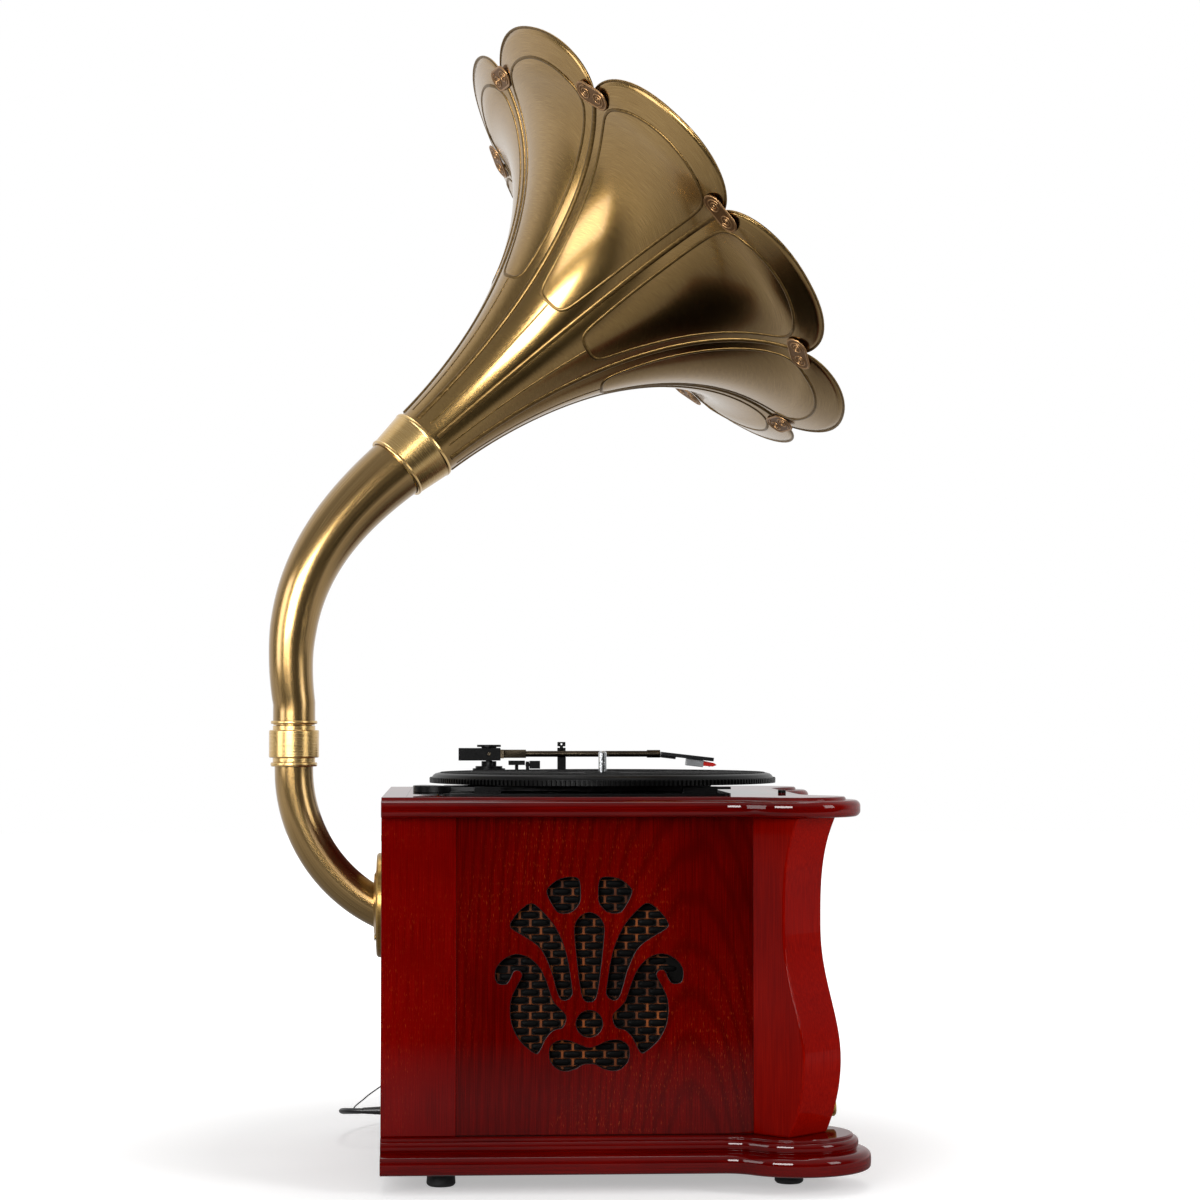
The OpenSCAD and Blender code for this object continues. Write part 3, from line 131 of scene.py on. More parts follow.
def ramp(tree, value, *stops):
    return addNode(tree, "ShaderNodeValToRGB", {"Fac": value}, stops).outputs[0]


def bump(tree, height, strength, depth, **settings):  # depth is in mm
    return addNode(tree, "ShaderNodeBump", {"Height": height, "Strength": strength,
                                            "Distance": depth / 1000}, **settings).outputs[0]


def feed(tree, shader, **sources):
    for socket, source in sources.items():
        tree.links.new(source, shader.inputs[socket.replace("_", " ")])


def startFinish(name, colour, roughness, **sockets):
    made = bpy.data.materials.new(name)
    made.use_nodes = True
    tree = made.node_tree
    shader = tree.nodes["Principled BSDF"]
    shader.inputs["Base Color"].default_value = linear(colour)
    shader.inputs["Roughness"].default_value = roughness
    for socket, value in sockets.items():
        shader.inputs[socket.replace("_", " ")].default_value = value
    return made, tree, shader


def veneered(name, dark, middle, light, figureAt=None, pores=0.0, coat=1.0, lying=False):
    made, tree, shader = startFinish(name, middle, 0.4, Specular_IOR_Level=0.0, Coat_Weight=coat,
                                     Coat_Roughness=0.02)
    where = coordinates(tree, "Object")
    # scales count per metre: fibres are 0.7 mm wide and 45 mm long, upright or lying
    wide, long = 1400, 22
    fibre = stretched(tree, where, (long, long, wide) if lying else (wide, wide, long))
    cloud = noise(tree, where, 7, 3)
    both = blended(tree, 0.4, noise(tree, fibre, 1, 4, 0.6), cloud)
    tone = ramp(tree, both, (0.34, dark), (0.68, light), (0.5, middle))
    if figureAt is not None:
        # flame figure: thin darker arches about 8 mm apart, drawn out along the trunk
        arched = stretched(tree, where, (1, 1, 0.2), (-figureAt, 0, 0.02))
        flame = addNode(tree, "ShaderNodeTexWave", {
            "Vector": arched, "Scale": 40, "Distortion": 3.5, "Detail": 3, "Detail Scale": 0.9},
            wave_type="RINGS", rings_direction="Y")
        late = span(tree, flame.outputs["Fac"], 0.55, 1.0, 0.0, 0.5)
        tone = blendedColour(tree, late, tone, dark)
    if pores:
        # open pores, drawn 0.5 mm wide and 5 mm long, with orange specks in them as painted highlights
        poreHighlight = "#b5481f"
        drawn = noise(tree, stretched(tree, where, (2000, 2000, 200)), 1, 2)
        pits = span(tree, drawn, 0.62, 0.74)
        poreHighlightShare = combined(tree, "MULTIPLY", pits, span(tree, cloud, 0.42, 0.62, 0.0, pores))
        tone = blendedColour(tree, poreHighlightShare, tone, poreHighlight)
        pitted = bump(tree, pits, 0.1, 0.2, invert=True)
        feed(tree, shader, Normal=pitted, Coat_Normal=pitted)
    feed(tree, shader, Base_Color=tone)
    return made


def brushed(name, dark, middle, light, roughness, streak, onUv=True, patina=0.2, around=True,
            lacquer=0.0):
    made, tree, shader = startFinish(name, middle, roughness, Metallic=1, Anisotropic=0.35,
                                     Coat_Weight=lacquer, Coat_Roughness=0.12)
    # streak is its width and length in mm; a UV map is in mm, and object places are in metres;
    # streaks lie across a petal or around a tube, or along it, and along x without a UV map
    unit = 1 if onUv else 1000
    wide, long = unit / streak[0], unit / streak[1]
    lines = stretched(tree, coordinates(tree, "UV" if onUv else "Object"),
                      (wide, long, wide) if onUv and not around else (long, wide, wide))
    fine = noise(tree, lines, 1, 5, 0.65)
    tarnish = noise(tree, coordinates(tree, "Object"), 9, 5, 0.55)
    both = blended(tree, patina, fine, tarnish)
    tone = ramp(tree, both, (0.28, dark), (0.72, light), (0.5, middle))
    rough = span(tree, both, 0.3, 0.7, roughness - 0.04, roughness + 0.05)
    feed(tree, shader, Base_Color=tone, Roughness=rough, Normal=bump(tree, fine, 0.1, 0.1))
    return made


def grained(name, colour, light, roughness, grain, depth, shine=0.5, **sockets):
    # grain is the size of its bumps and depth their height, both in mm
    made, tree, shader = startFinish(name, colour, roughness, Specular_IOR_Level=shine, **sockets)
    where = coordinates(tree, "Object")
    fine = noise(tree, where, 1000 / grain, 3)
    tone = ramp(tree, noise(tree, where, 25, 4), (0.35, colour), (0.7, light))
    swing = 0.12
    rough = span(tree, fine, 0.0, 1.0, max(roughness - swing, 0.03), min(roughness + swing, 1))
    feed(tree, shader, Base_Color=tone, Roughness=rough, Normal=bump(tree, fine, 0.3, depth))
    return made


# red stained veneer under thin gloss lacquer: fine upright grain, pores that break the shine
panelVeneer = veneered("panelVeneer", "#3e0000", "#580100", "#6e0400", 0.1, pores=0.9, coat=0.3)
stileVeneer = veneered("stileVeneer", "#4e0000", "#660100", "#800602", pores=0.6, coat=0.35)
# solid wood, filled and stained: a faint grain under a polish that shines most on the mouldings
mouldingLacquer = veneered("mouldingLacquer", "#440000", "#5a0100", "#6e0400", coat=0.6, lying=True)
# the corner posts' copy is lighter: painted light for their front faces, lit from the front
litPostLacquer = veneered("litPostLacquer", "#640100", "#7e0500", "#961002", coat=0.12)
# near-black painted shade for the side panels' bevels and the walls of their cut-outs: it lines each
# opening with a dark edge and the stile joint with a dark line
cutEdgeShade = grained("cutEdgeShade", "#0c0201", "#1a0503", 0.4, 0.8, 0.03, 0.2)
# pressed and brushed brass with a brown antique wash under clear lacquer
petalBrass = brushed("petalBrass", "#7c5f33", "#977846", "#b1945f", 0.22, (0.4, 26), lacquer=0.45)
# the petals' inner side: pale plate, cloudy and softly bright
petalInside = brushed("petalInside", "#cfcbb2", "#dfdcc8", "#ebe8da", 0.3, (0.6, 60), patina=0.5,
                      lacquer=0.5)
# drawn brass tube, brushed along, then turned parts and the dull beads of the pressed lines
neckBrass = brushed("neckBrass", "#7d6138", "#997b4b", "#b39666", 0.23, (0.5, 120), patina=0.1,
                    around=False, lacquer=0.5)
collarBrass = brushed("collarBrass", "#b08c4f", "#ceaa6b", "#e2c58d", 0.25, (0.3, 30), lacquer=0.5)
beadBrass = brushed("beadBrass", "#4e3c20", "#6d5632", "#876b42", 0.36, (2.5, 30), onUv=False)
# cast bronze, chemically darkened, with the high spots rubbed
clipBronze = brushed("clipBronze", "#765636", "#9a7650", "#bd986e", 0.36, (0.8, 1.6), onUv=False)
clipWash = brushed("clipWash", "#4a321c", "#6c4e30", "#866642", 0.45, (0.6, 1.2), onUv=False)
flangeBrass = brushed("flangeBrass", "#745a30", "#9a7a44", "#b3965f", 0.32, (0.5, 9), onUv=False)
fasciaBrass = brushed("fasciaBrass", "#93743c", "#b4924f", "#cfb070", 0.28, (0.3, 60), onUv=False)
knobBrass = brushed("knobBrass", "#9a7a40", "#bd9a56", "#d8b878", 0.24, (0.4, 20), onUv=False)
# moulded plastic and rubber: an even colour with a fine grain that softens the shine
armPlastic = grained("armPlastic", "#060606", "#0b0b0c", 0.36, 0.5, 0.02, 0.07)
deckPlastic = grained("deckPlastic", "#050505", "#09090a", 0.3, 0.6, 0.02, 0.08)
platterPlastic = grained("platterPlastic", "#050505", "#0a0a0a", 0.32, 0.9, 0.02, 0.08)
matRubber = grained("matRubber", "#030303", "#070707", 0.6, 0.8, 0.04, 0.04)
footRubber = grained("footRubber", "#0a0a0a", "#101010", 0.7, 0.9, 0.05)
leadPlastic = grained("leadPlastic", "#060606", "#0c0c0c", 0.4, 0.5, 0.02)
headPlastic = grained("headPlastic", "#141415", "#2a2b2d", 0.28, 0.5, 0.01, 0.2)
cartridgePlastic = grained("cartridgePlastic", "#7d7f82", "#a3a5a7", 0.3, 0.5, 0.01)
stylusPlastic = grained("stylusPlastic", "#c8180f", "#e0352a", 0.22, 0.4, 0.01, Coat_Weight=0.5)
ivoryPlastic = grained("ivoryPlastic", "#d8cfb4", "#e6dfca", 0.3, 0.5, 0.01)
# metals, from chrome that nearly mirrors to dull brass, then paint, paper and board inside
chromePlate = grained("chromePlate", "#b9bcbf", "#cfd1d3", 0.14, 0.6, 0.003, Metallic=1)
armMetal = grained("armMetal", "#3e372e", "#625848", 0.26, 0.5, 0.006, Metallic=1)
plainSteel = grained("plainSteel", "#7d7f82", "#97999c", 0.36, 0.8, 0.01, Metallic=1)
brassScrew = grained("brassScrew", "#8e733e", "#b3945a", 0.3, 0.6, 0.01, Metallic=1)
turnedBrass = grained("turnedBrass", "#a8873f", "#c5a55c", 0.28, 0.6, 0.006, Metallic=1)
paintedPressing = grained("paintedPressing", "#161617", "#242425", 0.45, 0.7, 0.02)
paperCone = grained("paperCone", "#17171a", "#242428", 0.85, 1.2, 0.12)
fibreBoard = grained("fibreBoard", "#7a5f40", "#97794f", 0.8, 1.5, 0.08)
boardGreen = grained("boardGreen", "#124d24", "#1d6a34", 0.4, 1.0, 0.02)
# grille cloth: matt black thread, copper-coloured thread that catches a little light, dark ground
clothBlack = grained("clothBlack", "#010101", "#060504", 0.5, 0.7, 0.1, 0.04)
clothCopper = grained("clothCopper", "#4a2208", "#a4551f", 0.5, 0.6, 0.12, 0.1)
clothGround = grained("clothGround", "#050302", "#120a05", 0.6, 0.7, 0.1, 0.05)
print("materials made")


# Meshes
def lengths(points):
    total = [0.0]
    for a, b in zip(points, points[1:]):
        total.append(total[-1] + (b - a).length)
    return total


def gridMesh(rows, closed=False, looped=False, capped=False):
    # closed joins each row's ends, looped joins last row to first; its UV map is in mm
    n, m = len(rows), len(rows[0])
    widest = max(rows, key=lambda row: lengths(row)[-1])
    across = lengths(list(widest) + [widest[0]])
    along = lengths([row[0] for row in rows] + [rows[0][0]])
    faces, spots = [], []
    for i in range(n if looped else n - 1):
        for j in range(m if closed else m - 1):
            k, l = (i + 1) % n, (j + 1) % m
            faces.append((i * m + j, k * m + j, k * m + l, i * m + l))
            spots += [(across[j], along[i]), (across[j], along[i + 1]),
                      (across[j + 1], along[i + 1]), (across[j + 1], along[i])]
    if capped:
        for start in (0, (n - 1) * m):
            faces.append(tuple(range(start, start + m)))
            spots += [(across[j], along[start // m]) for j in range(m)]
    made = bpy.data.meshes.new("grid")
    made.from_pydata([p for row in rows for p in row], [], faces)
    layer = made.uv_layers.new(name="UVMap")
    layer.data.foreach_set("uv", [c for spot in spots for c in spot])
    return made


def solidGrid(rows):
    return gridMesh(rows, closed=True, capped=True)


weld = 2e-6  # vertices nearer than this become one


def merged(meshes, matrix=cabinet, outward=True):
    bm = bmesh.new()
    for mesh in meshes:
        bm.from_mesh(mesh)
        bpy.data.meshes.remove(mesh)
    bm.transform(matrix)
    bmesh.ops.remove_doubles(bm, verts=bm.verts, dist=weld)
    if outward:
        bmesh.ops.recalc_face_normals(bm, faces=bm.faces)
    made = bpy.data.meshes.new("merged")
    bm.to_mesh(made)
    bm.free()
    return made


def piece(name, mesh, finish, node, others=(), replaces=True, sharp=40):
    mesh.name = name
    mesh.materials.clear()
    mesh.materials.append(finish)
    mesh.shade_smooth()
    mesh.set_sharp_from_angle(angle=radians(sharp))
    made = addObject(name, mesh)
    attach(made, bodyOf[node])
    if replaces:
        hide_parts(node, *others)
    return made


def softEdges(made, width, segments=2, angle=38):
    bevel = made.modifiers.new("softEdges", "BEVEL")
    bevel.width, bevel.segments = width / 1000, segments
    bevel.limit_method, bevel.angle_limit = "ANGLE", radians(angle)
    bevel.harden_normals = True
    return made


def softened(node, width, finish, segments=2):
    # the node's own shape with its corners eased by width, as a tool or a mould leaves them
    flat = radians(0.6)
    bm = bmesh.new()
    bm.from_mesh(frame["nodes"][node].data)
    bmesh.ops.remove_doubles(bm, verts=bm.verts, dist=weld)
    bmesh.ops.dissolve_limit(bm, verts=bm.verts, edges=bm.edges, angle_limit=flat)
    made = bpy.data.meshes.new(node)
    bm.to_mesh(made)
    bm.free()
    words = node.split("_")
    name = words[0] + "".join(word.title() for word in words[1:])
    return softEdges(piece(name, made, finish, node), width, segments)


def softenedAll(finish, segments, **widths):
    for node, width in widths.items():
        softened(node, width, finish, segments)


def circle(radius, steps):
    turns = [2 * pi * k / steps for k in range(steps)]
    return [(radius * cos(a), radius * sin(a)) for a in turns]


def lathe(profile, steps=96, closed=True):
    # profile is (radius, height) from its lowest point round and back
    rows = [[Vector((x, y, h)) for x, y in circle(r, steps)] for r, h in profile]
    return gridMesh(rows, closed=True, looped=closed)


def block(x0, y0, z0, x1, y1, z1):
    rows = [[Vector((x, y, z)) for x, y in ((x0, y0), (x1, y0), (x1, y1), (x0, y1))]
            for z in (z0, z1)]
    return solidGrid(rows)


def smoothLine(points, steps):
    points = [Vector(p) for p in points]
    last = len(points) - 1
    made = []
    for i in range(last):
        a, b, c, d = points[max(i - 1, 0)], points[i], points[i + 1], points[min(i + 2, last)]
        for j in range(steps):
            t = j / steps
            made.append(0.5 * (2 * b + (c - a) * t + (2 * a - 5 * b + 4 * c - d) * t * t
                               + (3 * b - a - 3 * c + d) * t ** 3))
    return made + [points[last]]


def headings(path):
    ends = [path[0]] + path + [path[-1]]
    return [(b - a).normalized() for a, b in zip(ends, ends[2:])]


def sweep(path, radii, sides, first=None, last=None, side=None):
    # round bar along a path; side is the direction that every ring keeps level with
    aheads = headings(path)
    aheads[0], aheads[-1] = first or aheads[0], last or aheads[-1]
    rows = []
    for p, ahead, r in zip(path, aheads, radii):
        across = side or Vector((0, 0, 1)).cross(ahead).normalized()
        over = across.cross(ahead).normalized()
        rows.append([p + r * (cos(a) * over + sin(a) * across)
                     for a in (2 * pi * j / sides for j in range(sides))])
    return rows


def ribbon(path, normals, profile):
    # bar with the cross-section profile, as (across, up) in mm, on a path with its normals
    rows = []
    for p, ahead, normal in zip(path, headings(path), normals):
        across = ahead.cross(normal).normalized()
        rows.append([p + x * across + h * normal for x, h in profile])
    return rows


def bead(width, height, under=0.4):
    arc = [(width / 2 * cos(a), height * sin(a)) for a in (pi * k / 6 for k in range(7))]
    return [(width / 2, -under)] + arc + [(-width / 2, -under)]


# Geometry Nodes: copies of a shape in a ring, or in staggered rows
def openTree(name, sockets):
    tree = bpy.data.node_groups.new(name, "GeometryNodeTree")
    for label, kind in sockets:
        tree.interface.new_socket(label, in_out="INPUT", socket_type="NodeSocket" + kind)
    tree.interface.new_socket("Geometry", in_out="OUTPUT", socket_type="NodeSocketGeometry")
    return tree, addNode(tree, "NodeGroupInput").outputs


def closeTree(tree, points, given, rotation=None):
    shape = addNode(tree, "GeometryNodeObjectInfo", {"Object": given["Shape"]})
    inputs = {"Points": points, "Instance": shape.outputs["Geometry"]}
    if rotation:
        inputs["Rotation"] = rotation
    copies = addNode(tree, "GeometryNodeInstanceOnPoints", inputs)
    real = addNode(tree, "GeometryNodeRealizeInstances", {"Geometry": copies.outputs[0]})
    painted = addNode(tree, "GeometryNodeSetMaterial", {"Geometry": real.outputs[0],
                                                        "Material": given["Finish"]})
    addNode(tree, "NodeGroupOutput", {"Geometry": painted.outputs[0]})
    return tree


def ringTree():
    tree, given = openTree("ringOfCopies", [
        ("Shape", "Object"), ("Count", "Int"), ("Start", "Float"), ("Finish", "Material")])
    points = addNode(tree, "GeometryNodePoints", {"Count": given["Count"]})
    index = addNode(tree, "GeometryNodeInputIndex").outputs[0]
    step = combined(tree, "DIVIDE", 2 * pi, given["Count"])
    angle = combined(tree, "MULTIPLY_ADD", index, step, given["Start"])
    turn = addNode(tree, "ShaderNodeCombineXYZ", {"Z": angle})
    return closeTree(tree, points.outputs[0], given, turn.outputs[0])


def rowsTree():
    tree, given = openTree("staggeredRows", [
        ("Shape", "Object"), ("Columns", "Int"), ("Rows", "Int"), ("Pitch across", "Float"),
        ("Pitch up", "Float"), ("Shift", "Float"), ("Finish", "Material")])
    index = addNode(tree, "GeometryNodeInputIndex").outputs[0]
    row = combined(tree, "FLOOR", combined(tree, "DIVIDE", index, given["Columns"]))
    column = combined(tree, "MODULO", index, given["Columns"])
    moved = combined(tree, "MULTIPLY_ADD", combined(tree, "MODULO", row, 2.0), 0.5, column)
    shifted = combined(tree, "ADD", moved, given["Shift"])
    spot = addNode(tree, "ShaderNodeCombineXYZ", {
        "X": combined(tree, "MULTIPLY", shifted, given["Pitch across"]),
        "Z": combined(tree, "MULTIPLY", row, given["Pitch up"])})
    points = addNode(tree, "GeometryNodePoints", {
        "Count": combined(tree, "MULTIPLY", given["Columns"], given["Rows"]),
        "Position": spot.outputs[0]})
    return closeTree(tree, points.outputs[0], given)


def grown(tree, mesh, **values):
    shape = addObject("shape", mesh)
    holder = addObject("holder", bpy.data.meshes.new("holder"))
    modifier = holder.modifiers.new("growth", "NODES")
    modifier.node_group = tree
    values["Shape"] = shape
    for item in tree.interface.items_tree:
        if item.in_out == "INPUT":
            modifier[item.identifier] = values[item.name.replace(" ", "_")]
    bpy.context.view_layer.update()
    result = bpy.data.meshes.new_from_object(
        holder.evaluated_get(bpy.context.evaluated_depsgraph_get()))
    holder.modifiers.remove(modifier)
    bpy.data.objects.remove(holder)
    bpy.data.objects.remove(shape)
    bpy.data.meshes.remove(mesh)
    return result


ringOfCopies = ringTree()
staggeredRows = rowsTree()


def ringed(mesh, count, finish, start=0.0):
    return grown(ringOfCopies, mesh, Count=count, Start=radians(start), Finish=finish)


# Camera: a long lens at the height of the cabinet's top, turned three degrees
def makeCamera():
    view = {"at": (-0.09634, -2.54257, 0.3805), "turn": 3, "rise": 2.425, "lens": 85, "film": 36}
    turn, rise = radians(view["turn"]), radians(view["rise"])
    ahead = Vector((sin(turn) * cos(rise), cos(turn) * cos(rise), sin(rise)))
    camera = addAimed("camera", bpy.data.cameras.new("camera"), view["at"], ahead)
    camera.data.lens, camera.data.sensor_width = view["lens"], view["film"]
    bpy.context.scene.camera = camera


makeCamera()


# Cords
def cordPiece(name, nodes, size, path, last=None):
    rows = sweep(path, [size["thick"] / 2] * len(path), size["sides"], Vector((-1, 0, 0)), last)
    return piece(name, merged([solidGrid(rows)]), leadPlastic, nodes[0], nodes[1:], sharp=60)


def coilPath(size, middle, start, way, steps=32):
    # in from the outside, up half a turn, and out again on top; steps are for one turn
    inner, pitch, turns, rise = size["inner"], size["pitch"], size["turns"], size["rise"]
    middle, outer, start = Vector(middle), inner + pitch * turns, radians(start)
    n, half = ceil(turns * steps), ceil(steps / 2)
    full = way * 2 * pi * turns

    def at(r, a, z):
        return middle + Vector((r * cos(a), r * sin(a), z))

    inward = [at(outer - pitch * turns * k / n, start + full * k / n, 0) for k in range(n + 1)]
    climb = [at(inner, start + full + way * pi * k / half,
                rise * (1 - cos(pi * k / half)) / 2) for k in range(1, half)]
    outward = [at(inner + pitch * turns * k / n, start + full + way * pi + full * k / n, rise)
               for k in range(n + 1)]
    return inward + climb + outward


def mainsLead():
    lead = {"thick": 4.4, "floor": 2.3, "inner": 17.2, "pitch": 5.65, "turns": 3.375, "rise": 5.0,
            "sides": 12}
    low = lead["floor"]
    middle = (60, 264, low)
    outer = lead["inner"] + lead["pitch"] * lead["turns"]
    hung = [(-22, 60, 31.7), (-28.5, 62, 31.6), (-34.5, 67.5, 31), (-39, 76, 30),
            (-41.6, 88, 28), (-42.2, 101, 25.9), (-42, 114, 23.8), (-40.6, 128, 21.7),
            (-38, 142.5, 19.7), (-34, 157, 17.7), (-28.8, 171, 15.8), (-22.6, 185, 14),
            (-15.4, 198.5, 12.2), (-7.4, 210.5, 9.6), (1.2, 221.5, 6.6), (9.8, 232, 3.9),
            (17, 243, low), (21.6, 253.5, low), (middle[0] - outer, middle[1], low)]
    coil = coilPath(lead, middle, 180, -1)
    plug = (middle[0] + 5 * lead["thick"], middle[1] + outer, low + lead["rise"])
    path = smoothLine(hung, 4)[:-1] + coil
    path += [(path[-1] + Vector(plug)) / 2, Vector(plug)]
    made = cordPiece("mainsLead", ["power_cord", "power_cord_coil"], lead, path, Vector((1, 0, 0)))
    gland = softened("cord_gland", 0.4, leadPlastic)
    plugPiece = softened("mains_plug", 2.0, leadPlastic, 3)


def aerialWire():
    wire = {"thick": 1.2, "floor": 0.7, "inner": 8, "pitch": 2.0, "turns": 3, "rise": 1.8,
            "sides": 8}
    low = wire["floor"]
    middle = (128, 229, low)
    outer = wire["inner"] + wire["pitch"] * wire["turns"]
    hung = [(-0.4, 60, 56.8), (-6, 60, 53), (-11.7, 60.4, 49), (-17.1, 62, 44.9), (-22.5, 66, 39.9),
            (-27.4, 73.4, 35.2), (-30.6, 84, 30.6), (-30.8, 97, 27), (-28.6, 111, 24.1),
            (-25.2, 126, 21.8), (-21, 142, 19.6), (-16.2, 157.5, 17.4), (-12, 172, 14.8),
            (-8.6, 186, 11.4), (-4.2, 199.5, 7), (3.2, 210.4, 3), (15, 216, low),
            (32, 217.6, low), (54, 217.4, low), (78, 216.4, low), (102, 215.4, low),
            (middle[0], middle[1] - outer, low)]
    coil = coilPath(wire, middle, -90, 1)
    path = smoothLine(hung, 5)[:-1] + coil
    made = cordPiece("aerialWire", ["aerial_wire", "aerial_coil"], wire, path)


mainsLead()
aerialWire()


# Cabinet
body = {"width": 364, "side": 9, "topZ": 301.5, "top": 16.2, "lobe": 61, "lobeX": 339.5,
        "lobeY": 170.5, "hollow": 30, "sideY": 205.5, "frontX": 371.5, "grilleX": 169.3,
        "grilleZ": 173.9, "pierced": 190}


def halfPlan(inset, rear, hollowSteps=12, lobeSteps=40):
    # left half of the plan of base and top: straight side, hollow, round lobe, hollow
    def arc(cx, cy, r, a0, a1, n):
        angles = [a0 + (a1 - a0) * k / n for k in range(n + 1)]
        return [(cx + r * cos(a), cy + r * sin(a)) for a in angles]
    lobeX, lobeY = body["lobeX"], body["lobeY"]
    reach = body["lobe"] + body["hollow"]
    fy, gx = body["sideY"] + body["hollow"], body["frontX"] + body["hollow"]
    fx = lobeX - sqrt(reach ** 2 - (fy - lobeY) ** 2)
    gy = lobeY - sqrt(reach ** 2 - (gx - lobeX) ** 2)
    a1 = atan2(fy - lobeY, fx - lobeX)
    a2 = atan2(gy - lobeY, gx - lobeX)
    return ([(rear, body["sideY"] - inset)]
            + arc(fx, fy, body["hollow"] + inset, -pi / 2, a1 - pi, hollowSteps)
            + arc(lobeX, lobeY, body["lobe"] - inset, a1, a2, lobeSteps)[1:-1]
            + arc(gx, gy, body["hollow"] + inset, a2 + pi, pi, hollowSteps))


def moulding(name, node, profile, z):
    rows = []
    for inset, height, rear in profile:
        half = halfPlan(inset, rear)
        rows.append([Vector((x, y, z + height)) for x, y in half]
                    + [Vector((x, -y, z + height)) for x, y in reversed(half)])
    mesh = merged([gridMesh(rows, closed=True, looped=True)])
    return softEdges(piece(name, mesh, mouldingLacquer, node, sharp=32), 0.5, 2, 32)


def woodwork():
    # profiles are (inset, height, rear end); the inner walls end 20 mm before the rear face
    base = {"z": 15, "high": 28.5, "deep": 50, "wall": 20}
    nose = {"round": 5, "inset": 7.5, "high": body["top"] - 2.6, "deep": 26, "wall": 20}
    roll = smoothLine([(3, 0, 0), (0.8, 1.2, 0), (0, 3.5, 0), (0, 10.5, 0), (1.4, 13.6, 0),
                       (4.4, 15.6, 0), (9.5, 16.4, 0)], 3)
    upper = smoothLine([(11.6, 17.4, 0), (10.4, 19, 0), (10.4, 23, 0), (11.8, 25.2, 0),
                        (14.6, 26, 0)], 3)
    ledge = [(14.6, 27.6, 0), (16, base["high"], 0), (base["deep"], base["high"], base["wall"]),
             (base["deep"], 0, base["wall"])]
    moulding("baseMoulding", "base_moulding", [tuple(p) for p in roll + upper] + ledge, base["z"])
    r, high, inset = nose["round"], nose["high"], nose["inset"]
    turns = [radians(15 * k) for k in range(7)]
    under = [(inset + r * (1 - sin(a)), r * (1 - cos(a)), 0) for a in turns]
    over = [(inset + r * (1 - cos(a)), high - r * (1 - sin(a)), 0) for a in turns]
    step = [(inset + 11.8, high + 0.2, 0), (inset + 12.2, high + 1.6, 0),
            (inset + 13.2, body["top"], 0), (nose["deep"], body["top"], nose["wall"]),
            (nose["deep"], 0, nose["wall"])]
    moulding("topMoulding", "top_moulding", under + over + step, body["topZ"])
    softened("top_panel", 0.3, mouldingLacquer)
    # the posts take the lighter lacquer, painted light for their lit faces
    softened("corner_posts", 1.8, litPostLacquer, 4)
    softened("rear_stiles", 0.9, stileVeneer, 3)
    for node in ("side_panel_right", "side_panel_left"):
        panel = softened(node, 1.1, panelVeneer, 3)
        # painted shade: the bevels and the walls round the openings take the near-black finish
        panel.data.materials.append(cutEdgeShade)
        panel.modifiers["softEdges"].material = 1
        for face in panel.data.polygons:
            off = face.center - place(body["grilleX"], 0, body["grilleZ"])
            far = max(abs(off.x), abs(off.z)) * 2000
            if abs(face.normal.y) < 0.5 and far < body["pierced"]:
                face.material_index = 1
    softened("front_panel", 0.6, panelVeneer)
    softened("back_panel", 0.6, stileVeneer)
    softened("bottom_board", 0.5, fibreBoard)
    softened("rubber_feet", 0.8, footRubber, 3)
    print("woodwork made")


def squareOval(a, b, steps=16, power=0.75):
    # an oval that is a little fuller at its corners than an ellipse
    return [(a * copysign(abs(cos(t)) ** power, cos(t)),
             b * copysign(abs(sin(t)) ** power, sin(t)))
            for t in (2 * pi * (k + 0.5) / steps for k in range(steps))]


def clothPatch():  # one oval of black weave, as rings of half width, half height and rise
    rings = [(6.8, 2.4, 0), (6.2, 2.0, 0.32), (4.4, 1.3, 0.48)]
    return solidGrid([[Vector((x, -h, z)) for x, z in squareOval(a, b)] for a, b, h in rings])


def clothStrap():  # the thread between two ovals, with arms above and below them
    corner = [(0.9, 0), (1.0, 2.5), (3.0, 2.9), (8.6, 2.85), (8.6, 3.4), (3.0, 3.45), (0, 3.5)]
    outline = corner[:-1] + [(-x, z) for x, z in reversed(corner)]
    outline += [(-x, -z) for x, z in corner[1:-1]] + [(x, -z) for x, z in reversed(corner[1:])]
    rows = [[Vector((x * s, -h, z * s)) for x, z in outline] for h, s in ((0, 1), (0.5, 0.985))]
    return solidGrid(rows)


def grilleCloths():
    cloth = {"wide": 160, "high": 166, "across": 17.4, "up": 6.3, "thick": 0.55, "gap": 0.03,
             "ground": 0.6}
    wide, high, across, up = cloth["wide"], cloth["high"], cloth["across"], cloth["up"]
    middleX, middleZ = body["grilleX"], body["grilleZ"]
    columns, rowCount = int(wide / across) - 1, int(high / up)
    x0, z0 = middleX - (columns - 0.5) * across / 2, middleZ - (rowCount - 1) * up / 2
    face = body["width"] / 2 - body["side"] - cloth["gap"] - cloth["thick"]
    for side, name in ((-1, "Right"), (1, "Left")):
        ground = block(middleX - wide / 2, side * face, middleZ - high / 2,
                       middleX + wide / 2, side * (face - cloth["ground"]), middleZ + high / 2)
        backing = piece("grilleCloth" + name, merged([ground]), clothGround, "grille_cloths")
        for label, shape, finish, shift in (("Weave", clothPatch(), clothBlack, 0),
                                            ("Thread", clothStrap(), clothCopper, -0.5)):
            mesh = grown(staggeredRows, shape, Columns=columns, Rows=rowCount, Shift=shift,
                         Pitch_across=across, Pitch_up=up, Finish=finish)
            at = seat(x0, side * face, z0) @ Matrix.Diagonal((1, -side, 1, 1))
            piece("grille" + label + name, merged([mesh], at), finish, "grille_cloths",
                  replaces=False)
    print("grille cloths woven:", columns * rowCount, "patches a side")


woodwork()
grilleCloths()


